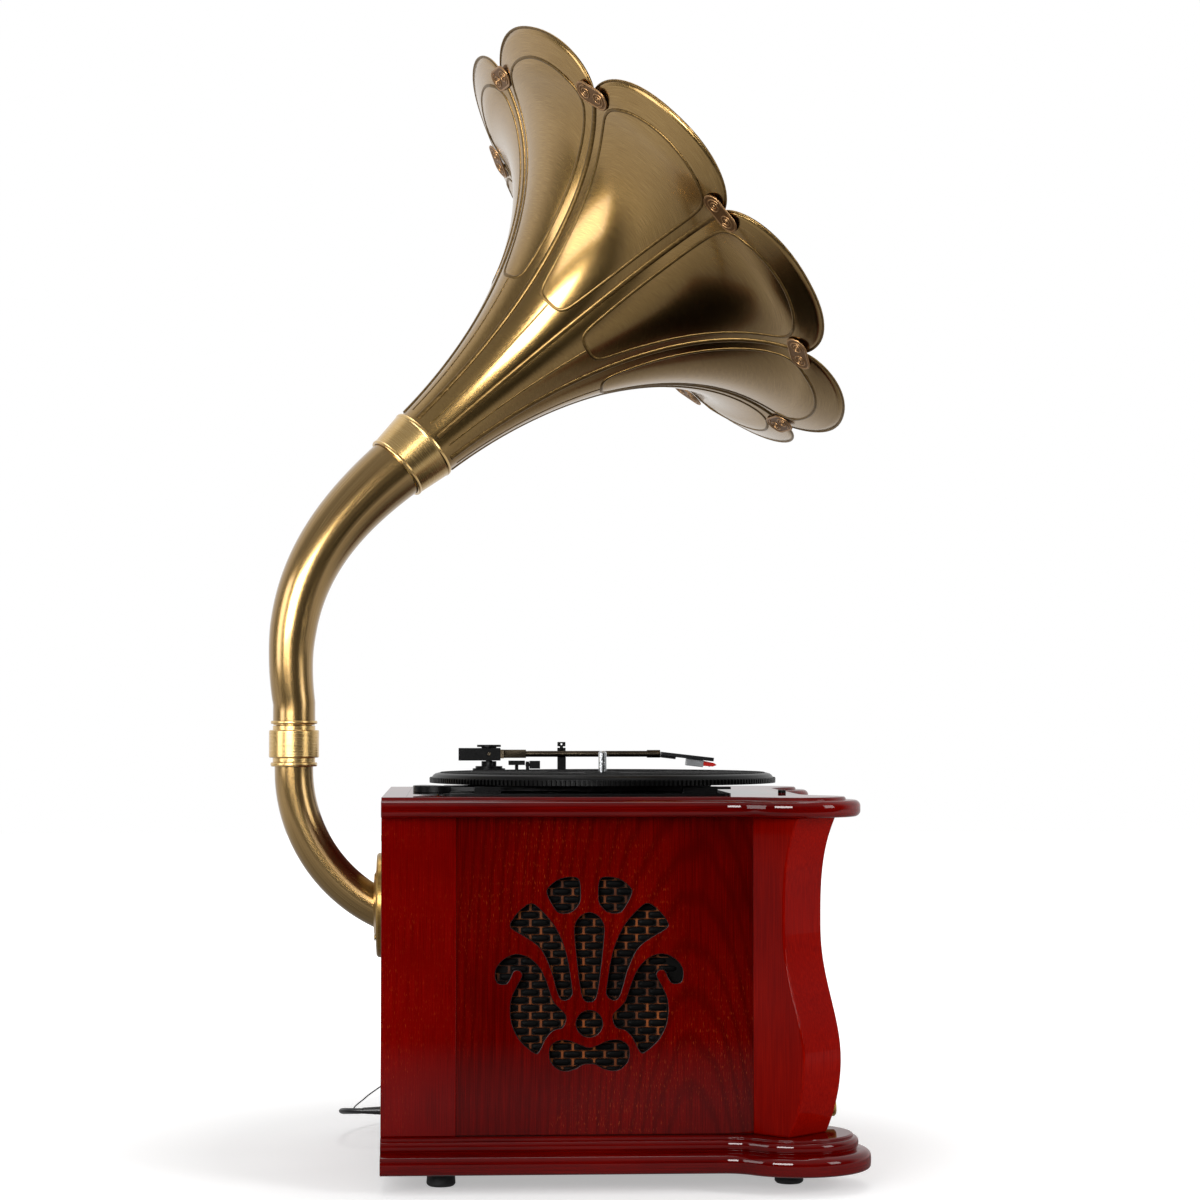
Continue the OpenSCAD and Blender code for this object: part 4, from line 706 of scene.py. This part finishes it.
# Horn
horn = {"swivelZ": 339.9, "back": 81, "turn": 15.8, "rise": 41.4, "tube": 16.9, "wall": 1.5,
        "bend": 136, "neck": 18.5, "neckEnd": 28, "throat": 32.5, "mouth": 206.5, "bell": 278,
        "petalOut": 37.3, "crown": 3.1, "lean": 64, "sheet": 1.2, "count": 8, "seam": -0.8,
        "collar": 35, "fixed": 35.7, "gap": 0.3, "bead": 4.02}
neckBow = [(0, 394.9), (-14.8, 489.9), (26, 550.1), (91.2, 604.0)]  # distance from axis, height
turned = radians(horn["turn"])
ahead3 = Vector((cos(turned), sin(turned), 0))
beside3 = Vector((-sin(turned), cos(turned), 0))


def bezier(points, t):
    s = 1 - t
    weights = (s ** 3, 3 * s * s * t, 3 * s * t * t, t ** 3)
    return Vector([sum(w * p[k] for w, p in zip(weights, points)) for k in (0, 1)])


def onAxis(z):
    return Vector((-horn["back"], 0, z))


def hornMatrix():
    rise = radians(horn["rise"])
    foot = Vector(neckBow[3]) + horn["collar"] * Vector((cos(rise), sin(rise)))
    at = foot[0] * ahead3 + onAxis(foot[1])
    return seat(*at, (horn["turn"], "Z"), (90 - horn["rise"], "Y"))


def pipe(name, node, path, radii, sides, **ends):
    rows = sweep(path, radii, sides, **ends)
    rows += reversed(sweep(path, [r - horn["wall"] for r in radii], sides, **ends))
    piece(name, merged([gridMesh(rows, closed=True, looped=True)]), neckBrass, node)


def elbowPipe():
    elbow = {"drop": 2.4, "sweep": 67, "steps": 40, "sides": 56}
    arcZ = horn["swivelZ"] - elbow["drop"]
    middle = Vector((horn["bend"] - horn["back"], 0, arcZ))
    path = [middle - horn["bend"] * Vector((cos(a), 0, sin(a)))
            for a in (radians(elbow["sweep"] * (1 - k / elbow["steps"]))
                      for k in range(elbow["steps"] + 1))]
    path += [onAxis(arcZ + 3), onAxis(arcZ + 6)]
    pipe("elbowPipe", "elbow_pipe", path, [horn["tube"]] * len(path), elbow["sides"],
         side=Vector((0, 1, 0)))


def neckPipe():
    # it widens by early over its first quarter, and by the rest from lateFrom on
    neck = {"steps": 48, "sides": 64, "early": 1.6, "lateFrom": 0.15, "power": 1.3}
    shares = [k / neck["steps"] for k in range(neck["steps"] + 1)]
    foot = horn["swivelZ"] + horn["fixed"] + horn["gap"] + horn["bead"]
    line = [Vector((0, foot)), Vector((0, (foot + neckBow[0][1]) / 2))]
    line += [bezier(neckBow, t) for t in shares]
    rest = horn["neckEnd"] - horn["neck"] - neck["early"]
    radii = [horn["neck"]] * 2 + [
        horn["neck"] + neck["early"] * min(4 * t, 1)
        + rest * (max(t - neck["lateFrom"], 0) / (1 - neck["lateFrom"])) ** neck["power"]
        for t in shares]
    path = [p[0] * ahead3 + onAxis(p[1]) for p in line]
    tip = Vector(neckBow[3]) - Vector(neckBow[2])
    tip = (tip[0] * ahead3 + Vector((0, 0, tip[1]))).normalized()
    pipe("neckPipe", "neck_pipe", path, radii, neck["sides"], first=Vector((0, 0, 1)), last=tip,
         side=beside3)
    print("horn tubes bent")


def swivel():
    r, bore, out, high = horn["tube"], horn["tube"] - horn["wall"], 21.9, horn["fixed"]
    fixed = [(r + 0.02, 0), (r + 3, 0), (r + 3.5, 1), (r + 3.5, 2.8), (r + 3, 3.6), (r + 1.7, 3.7),
             (r + 1.7, 7.6), (out - 0.6, 7.7), (out, 8.4), (out, 31), (out - 0.6, 31.8),
             (r + 1.7, 31.9), (r + 1.7, high), (bore + 0.05, high), (bore + 0.05, 8), (r + 0.02, 8)]
    # the sleeve fits inside the flats of the solid neck, which has 28 sides
    neckSides, slack = 28, 0.03
    sleeve = (horn["neck"] - horn["wall"]) * cos(pi / neckSides) - slack
    turning = [(bore, -22), (bore, 0), (horn["neck"] - 0.4, 0), (horn["neck"] - 0.4, 1),
               (r + 3, 1.1), (r + 3.5, 1.8), (r + 3.5, 3.2), (r + 3, 4), (sleeve, 4), (sleeve, 14),
               (bore - horn["wall"], 14), (bore - horn["wall"], -22)]
    for name, node, profile, z in (
            ("swivelCollar", "swivel_collar", fixed, horn["swivelZ"]),
            ("neckSpigot", "neck_spigot", turning, horn["swivelZ"] + high + horn["gap"])):
        mesh = merged([lathe(profile)], seat(*onAxis(z)))
        softEdges(piece(name, mesh, collarBrass, node), 0.35, 3, 25)
    softened("elbow_flange", 0.5, flangeBrass, 3)


# square and full shape a petal's edge, crowned is how soon its crown is full, apart is in radians
petal = {"square": 2.35, "full": 0.7, "crowned": 1.6, "apart": 0.002, "tuck": 12, "tuckIn": 0.6}
# the bell's line as (radius, height); its t runs from 0 at the throat to 1, and past 1 on the lip
bell = [(horn["throat"], 0), (horn["throat"] + 9.7, horn["bell"] / 2),
        (horn["mouth"] * 0.52, horn["bell"] * 0.945), (horn["mouth"], horn["bell"])]
lipLong = 3 * (Vector(bell[3]) - Vector(bell[2])).length
tipT = horn["petalOut"] / lipLong
petalHalf = pi / horn["count"]


def bellAt(t):
    if t < 0:
        return Vector((horn["throat"] + petal["tuckIn"] * t, petal["tuck"] * t))
    if t > 1:
        lean = radians(horn["lean"])
        return Vector(bell[3]) + (t - 1) * lipLong * Vector((sin(lean), cos(lean)))
    return bezier(bell, t)


def alongBell(t, step=0.01):
    return bellAt(t + step) - bellAt(t - step)


def scallop(v):  # how far past 1 the petal's edge lies, at v from seam to seam
    return tipT * max(1 - abs(v) ** petal["square"], 0) ** petal["full"]


def onPetal(t, v, lift=0.0):
    # point on the outer skin and its outward normal, in the horn's own mm
    d = alongBell(t)
    m = Vector((d[1], -d[0])).normalized()
    u = petal["crowned"] * (t / (1 + scallop(v)))
    q = bellAt(t) + (horn["crown"] * (1 - v * v) * max(0, min(1, u)) + lift) * m
    a = v * (petalHalf - petal["apart"])
    return (Vector((q[0] * cos(a), q[0] * sin(a), q[1])),
            Vector((m[0] * cos(a), m[0] * sin(a), m[1])))


def hornPetals():
    sheet = {"along": 44, "across": 28}
    us = [-1, -0.5] + [k / sheet["along"] for k in range(sheet["along"] + 1)]
    vs = [-sin(pi / 2 * k / (sheet["across"] / 2))
          for k in range(-sheet["across"] // 2, sheet["across"] // 2 + 1)]
    rows = [[onPetal(u if u < 0 else u * (1 + scallop(v)), v)[0] for v in vs] for u in us]
    start = degrees(petalHalf) + horn["seam"]
    ring = ringed(gridMesh(rows), horn["count"], petalBrass, start)
    made = piece("hornPetals", merged([ring], hornMatrix(), outward=False), petalBrass,
                 "horn_petals", sharp=60)
    made.data.materials.append(petalInside)
    solid = made.modifiers.new("sheet", "SOLIDIFY")
    solid.thickness, solid.offset = horn["sheet"] / 1000, -1
    solid.material_offset, solid.use_even_offset = 1, True
    print("petals:", len(made.data.polygons), "faces")


def pressedLines():
    # pressed outline, its stem, folded seams and rolled rims, as low beads on the sheet
    beads = {"outline": (3.0, 0.75), "stem": (1.8, 0.5), "seam": (5.2, 1.5), "fold": (3.0, 0.8)}
    rim = {"radius": 1.15, "sides": 8, "in": 1.0, "steps": 40}
    rivets = {"t": 0.1, "v": 0.86}
    half = [(0.4, 0), (0.402, 0.3), (0.415, 0.5), (0.45, 0.6), (0.55, 0.7), (0.68, 0.77),
            (0.8, 0.815), (0.89, 0.83), (0.945, 0.8), (0.985, 0.68), (1.012, 0.48),
            (1.028, 0.25), (1.034, 0)]
    loop = half + [(t, -v) for t, v in reversed(half[1:-1])]
    closedLine = smoothLine(loop[-2:] + loop + loop[:3], 6)[12:-12]
    outside, inside = [], []

    def lay(target, line, kind, inner=False, shut=False):
        spots = [onPetal(t, v, -horn["sheet"] if inner else 0) for t, v in line]
        normals = [-n if inner else n for p, n in spots]
        target.append(gridMesh(ribbon([p for p, n in spots], normals, bead(*beads[kind])),
                               closed=True, looped=shut, capped=not shut))

    def straight(start, long, steps, v):
        return [(start + long * k / steps, v) for k in range(steps + 1)]

    stem, seam = straight(0.02, 0.375, 24, 0), straight(0.01, 0.95, 60, 1)
    for inner, target in ((False, outside), (True, inside)):
        lay(target, closedLine[:-1], "outline", inner, True)
        lay(target, stem, "stem", inner)
    lay(outside, seam, "seam")
    lay(inside, seam, "fold", True)
    for side in (1, -1):
        p, n = onPetal(rivets["t"], side * rivets["v"])
        rivet = lathe([(0.01, -0.3), (1.1, -0.3), (1.0, 0.3), (0.5, 0.6), (0.01, 0.7)], 12, False)
        rivet.transform(Matrix.Translation(p) @ n.to_track_quat("Z", "Y").to_matrix().to_4x4())
        outside.append(rivet)
    edge = []
    for k in range(rim["steps"] + 1):
        v = sin(pi * (k / rim["steps"] - 0.5))
        edge.append(onPetal(1 + scallop(v) - rim["in"] / lipLong, v, -horn["sheet"] / 2))
    rims = solidGrid(ribbon([p for p, n in edge], [n for p, n in edge],
                            circle(rim["radius"], rim["sides"])))
    start = degrees(petalHalf) + horn["seam"]
    for name, meshes, finish in (("petalLines", outside, beadBrass), ("insideLines", inside,
                                 petalInside), ("petalRims", [rims], beadBrass)):
        mesh = ringed(merged(meshes, Matrix.Identity(4)), horn["count"], finish, start)
        made = piece(name, merged([mesh], hornMatrix()), finish, "horn_petals", replaces=False,
                     sharp=50)
        print(name + ":", len(made.data.polygons), "faces")


def rimClips():
    clip = {"round": 10.4, "apart": 9.4, "low": 2.1, "thick": 1.2, "at": 0.99, "steps": 16,
            "eye": 8.2, "scroll": 7.4, "scrollEnd": 2.0, "scrollTurns": 1.8, "scrollSteps": 60}
    z, reach, eye = clip["low"], clip["apart"], clip["eye"]

    def level(shrink, h):
        r, points = clip["round"] - shrink, []
        for side in (1, -1):
            for k in range(clip["steps"] + 1):
                a = pi * k / clip["steps"] - (0 if side > 0 else pi)
                points.append(Vector((r * cos(a), side * reach + r * sin(a), z + h)))
        return points

    plate = solidGrid([level(0, 0), level(0, 0.5), level(0.25, 0.95), level(0.8, clip["thick"]),
                       level(1.5, 1.15), level(2.0, 0.75)])
    ground = solidGrid([level(1.7, 0.6), level(1.8, 0.8)])
    scrolls = []
    for side in (-1, 1):
        spiral = []
        for k in range(clip["scrollSteps"] + 1):
            t = k / clip["scrollSteps"]
            a = 2 * pi * clip["scrollTurns"] * t
            r = side * (clip["scroll"] + (clip["scrollEnd"] - clip["scroll"]) * t)
            spiral.append(Vector((r * cos(a) * 0.95, side * eye + r * sin(a), z + 0.75)))
        ups = [Vector((0, 0, 1))] * len(spiral)
        scrolls.append(solidGrid(ribbon(spiral, ups, bead(1.35, 0.6, 0.2))))
        boss = lathe([(0.01, 0.6), (1.5, 0.6), (1.4, 1.0), (0.7, 1.35), (0.01, 1.4)], 16, False)
        boss.transform(Matrix.Translation((0, side * eye, z)))
        scrolls.append(boss)
    p = bellAt(clip["at"])
    d = alongBell(clip["at"])
    at = Matrix.Translation((p[0], 0, p[1])) @ Matrix.Rotation(
        pi / 2 - atan2(-d[0], d[1]), 4, "Y")
    for name, meshes, finish in (("rimClips", [plate] + scrolls, clipBronze),
                                 ("clipGrounds", [ground], clipWash)):
        ring = ringed(merged(meshes, at), horn["count"], finish, horn["seam"])
        piece(name, merged([ring], hornMatrix()), finish, "rim_clips",
              replaces=name == "rimClips", sharp=50)


def hornCollar():
    r, end, long = horn["throat"], horn["neckEnd"], horn["collar"]
    inside = r + 0.1
    profile = [(end + 0.3, -long), (end + 2.4, -long), (end + 2.9, -long + 0.9),
               (end + 2.9, -long + 2.2), (end + 2.4, -long + 3.0), (r + 1.9, -3.4), (r + 2.5, -2.6),
               (r + 2.5, -0.7), (r + 2.2, 0), (inside, 0), (inside - 0.6, -13), (r - 2.4, -13.4),
               (end + 0.3, -30)]
    made = piece("hornCollar", merged([lathe(profile)], hornMatrix()), collarBrass, "horn_collar")
    softEdges(made, 0.3, 2, 25)


elbowPipe()
neckPipe()
swivel()
hornPetals()
pressedLines()
rimClips()
hornCollar()


# Turntable
deck = {"x": 187.8, "y": -35, "rimZ": 326.4, "matZ": 335.6, "drumZ": 320.7, "platter": 150,
        "drum": 93, "teeth": 233, "root": 2.4, "taper": 0.8, "edge": 9.2}


def platterAndMat():
    r, rim, mat, drumZ, drum = deck["platter"], deck["rimZ"], deck["matZ"], deck["drumZ"], deck["drum"]
    at = seat(deck["x"], deck["y"], 0)
    dome = [(r - 2.0, rim), (r - 2.0, rim + 4.9), (r - 2.4, rim + 5.3), (r - 3.4, rim + 6.7),
            (r - 5.0, mat - 1.3), (r - 8, mat - 0.5), (r - 8.6, mat - 0.7), (r - 9, mat - 1.5)]
    profile = [(4.02, mat - 1.5), (4.02, drumZ), (14, drumZ), (14, mat - 5.5),
               (drum - 4, mat - 5.5), (drum - 4, drumZ), (drum, drumZ), (drum, drumZ + 5.6),
               (drum + 1.5, drumZ + 5.8), (r - 3, rim + 1), (r - 3, rim)] + dome
    made = piece("platter", merged([lathe(profile, steps=180)], at), platterPlastic, "platter", sharp=30)
    softEdges(made, 0.25, 2, 30)
    tooth = []
    for h, half, out in ((0.15, 1.1, r - 0.15), (4.0, 1.1, r), (4.7, 0.9, r - 0.35)):
        root, top = r - deck["root"], half * deck["taper"]
        tooth.append([Vector((x, y, rim + h)) for x, y in (
            (root, -half), (out, -top), (out, top), (root, half))])
    ring = ringed(solidGrid(tooth), deck["teeth"], platterPlastic)
    piece("platterTeeth", merged([ring], at), platterPlastic, "platter", replaces=False, sharp=25)
    low, rib = mat - 0.6, {"count": 28, "from": 50, "pitch": 3}
    ribs = [(3.62, mat - 1.5), (3.62, mat - 0.2), (16, mat - 0.2), (16.4, low), (48, low)]
    for k in range(rib["count"]):
        x = rib["from"] + k * rib["pitch"]
        ribs += [(x, low), (x + 0.5, mat - 0.1), (x + 1.5, mat - 0.1), (x + 2, low)]
    edge = r - deck["edge"]
    ribs += [(edge - 4, low), (edge - 3.4, mat), (edge - 0.6, mat), (edge, mat - 0.4),
             (edge, mat - 1.5)]
    piece("platterMat", merged([lathe(ribs, steps=160)], at), matRubber, "platter_mat", sharp=25)
    softened("spindle", 0.3, chromePlate, 3)
    print("platter made:", deck["teeth"], "teeth")


def deckPieces():
    softened("deck_plate", 0.5, deckPlastic)
    softened("motor_cover", 0.8, deckPlastic, 3)
    softened("drive_belt", 0.1, footRubber, 1)
    softenedAll(turnedBrass, 2, platter_bearing=0.3, motor_pulley=0.15)
    softened("motor", 0.6, plainSteel)
    softenedAll(armPlastic, 3, speed_lever=0.5, stop_lever=0.5)


def tonearm():
    softenedAll(armPlastic, 3, tonearm_base=0.5, counterweight=0.9, arm_rest=0.4, rest_clip=0.3,
                lift_rail=0.6, cue_lever=0.5)
    # the turret's column is a little slimmer here, so the fork's slot clears it when lifted;
    # the rims of its cross bearing keep their width, because the arm's pins turn in them
    column = {"radius": 7.2, "slimmer": 0.25, "holeZ": 349.3, "hole": 1.9, "near": 0.06}
    slim = (column["radius"] - column["slimmer"]) / 1000
    turret = softened("tonearm_turret", 0.5, armPlastic, 3)
    xs = [v.co.x for v in turret.data.vertices]
    ys = [v.co.y for v in turret.data.vertices]
    middle = Vector(((min(xs) + max(xs)) / 2, (min(ys) + max(ys)) / 2))
    for v in turret.data.vertices:
        out = Vector((v.co.x, v.co.y)) - middle
        if abs(out.length * 1000 - column["radius"]) < column["near"]:
            if max(abs(out.x), abs(v.co.z - column["holeZ"] / 1000)) * 1000 < column["hole"]:
                out.y = copysign(sqrt(slim ** 2 - out.x ** 2), out.y)
            else:
                out *= slim / out.length
            v.co.x, v.co.y = middle + out
    softened("tonearm_tube", 0.4, armMetal)
    softened("headshell", 0.5, headPlastic, 3)
    softened("cartridge", 0.5, cartridgePlastic, 3)
    softened("stylus", 0.3, stylusPlastic)


def controls():
    softened("control_fascia", 0.8, fasciaBrass, 3)
    softenedAll(knobBrass, 3, volume_knob=0.5, tuning_knob=0.5)
    softened("mode_button", 0.6, ivoryPlastic, 3)
    softened("power_button", 0.5, armPlastic, 3)
    softened("rear_socket_plate", 0.5, armPlastic)
    softenedAll(brassScrew, 1, cabinet_screws=0.15, flange_screws=0.15)
    softened("amplifier_board", 0.2, boardGreen, 1)
    softened("transformer", 0.6, plainSteel)
    softened("speaker_frames", 0.4, paintedPressing, 1)
    softened("speaker_cones", 0.1, paperCone, 1)


platterAndMat()
deckPieces()
tonearm()
controls()
print("pieces made")


# Studio: white paper below and behind, a dark room in front, a wide softbox in front at the left
# and smaller ones at the left, at the right and above
def paperFloor():
    reach, sunk = 7, 0.0002
    mesh = bpy.data.meshes.new("floor")
    mesh.from_pydata([(-reach, -reach, 0), (reach, -reach, 0), (reach, reach, 0),
                      (-reach, reach, 0)], [], [(0, 1, 2, 3)])
    ground = addObject("floor", mesh)
    ground.location.z = -sunk
    paper = bpy.data.materials.new("whitePaper")
    paper.use_nodes = True
    tree = paper.node_tree
    tree.nodes.clear()
    path = addNode(tree, "ShaderNodeLightPath").outputs
    where = coordinates(tree, "Object")
    away = addNode(tree, "ShaderNodeVectorMath", {0: where}, operation="LENGTH").outputs["Value"]
    y = addNode(tree, "ShaderNodeSeparateXYZ", {0: where}).outputs["Y"]
    # a mirror sees the paper end about a metre in front, and only the dark room beyond it
    mirrored = combined(tree, "MULTIPLY", span(tree, away, 0.35, 1.4, 0.3, 0.85),
                        span(tree, y, -1.3, -0.75, 0.02, 1.0))
    # what the camera sees is white away from the shadow, which stays
    seen = combined(tree, "MULTIPLY", path["Is Camera Ray"], span(tree, away, 0.3, 0.8, 0.42, 1.0))
    shiny = combined(tree, "ADD", path["Is Glossy Ray"], path["Is Transmission Ray"], use_clamp=True)
    matt = addNode(tree, "ShaderNodeBsdfDiffuse", {"Color": "#e4e4e4"})
    shine = addNode(tree, "ShaderNodeEmission", {"Strength": seen})
    both = addNode(tree, "ShaderNodeAddShader", {0: matt.outputs[0], 1: shine.outputs[0]})
    image = addNode(tree, "ShaderNodeEmission", {"Strength": mirrored})
    mixed = addNode(tree, "ShaderNodeMixShader", {0: shiny, 1: both.outputs[0], 2: image.outputs[0]})
    addNode(tree, "ShaderNodeOutputMaterial", {"Surface": mixed.outputs[0]})
    mesh.materials.append(paper)


def room():
    matt, camera = 0.38, 1.0  # brightness for matt surfaces, and as the camera sees it
    world = bpy.data.worlds.new("studio")
    bpy.context.scene.world = world
    world.use_nodes = True
    tree = world.node_tree
    tree.nodes.clear()
    path = addNode(tree, "ShaderNodeLightPath").outputs
    aim = addNode(tree, "ShaderNodeSeparateXYZ", {0: coordinates(tree, "Generated")}).outputs
    # mirrors see white behind, almost nothing in front and a dim ceiling
    behind = span(tree, aim["Y"], -0.1, 0.4, 0.03, 1.0)
    above = span(tree, aim["Z"], 0.12, 0.75, 0.0, 0.4)
    glossy = combined(tree, "ADD", behind, above, use_clamp=True)
    unseen = blended(tree, path["Is Diffuse Ray"], glossy, matt)
    strength = blended(tree, path["Is Camera Ray"], unseen, camera)
    sky = addNode(tree, "ShaderNodeBackground", {"Color": "#ffffff", "Strength": strength})
    addNode(tree, "ShaderNodeOutputWorld", {"Surface": sky.outputs[0]})


def lamps():
    # each softbox is a pair of lamps, one for matt surfaces and one for mirrored rays; the shiny
    # one hangs nearer, because a lamp in the same place hides the other from mirrored rays
    target, nearer = Vector((0, -0.05, 0.5)), 0.02
    # place, size across and up, watts of the matt lamp, watts of the shiny one
    kinds = [("window", (-1.07, -2.6, 0.95), (1.5, 0.9), 24, 100),
             ("left", (-2.35, -1.1, 0.9), (1.0, 1.2), 3, 20),
             ("right", (2.4, -1.7, 1.1), (0.9, 1.3), 36, 28),
             ("above", (0.1, 0.3, 2.7), (1.5, 1.5), 17, 24)]
    for name, at, size, matt, shiny in kinds:
        for label, power in (("Matt", matt), ("Shiny", shiny)):
            lamp = bpy.data.lights.new(name + label, "AREA")
            lamp.shape, lamp.size, lamp.size_y, lamp.energy = "RECTANGLE", size[0], size[1], power
            aim = target - Vector(at)
            hung = Vector(at) + (nearer if label == "Shiny" else 0.0) * aim
            made = addAimed(name + label, lamp, hung, aim)
            made.visible_diffuse, made.visible_glossy = label == "Matt", label == "Shiny"
    bpy.context.scene.view_settings.view_transform = "Standard"


paperFloor()
room()
lamps()
print("scene ready")
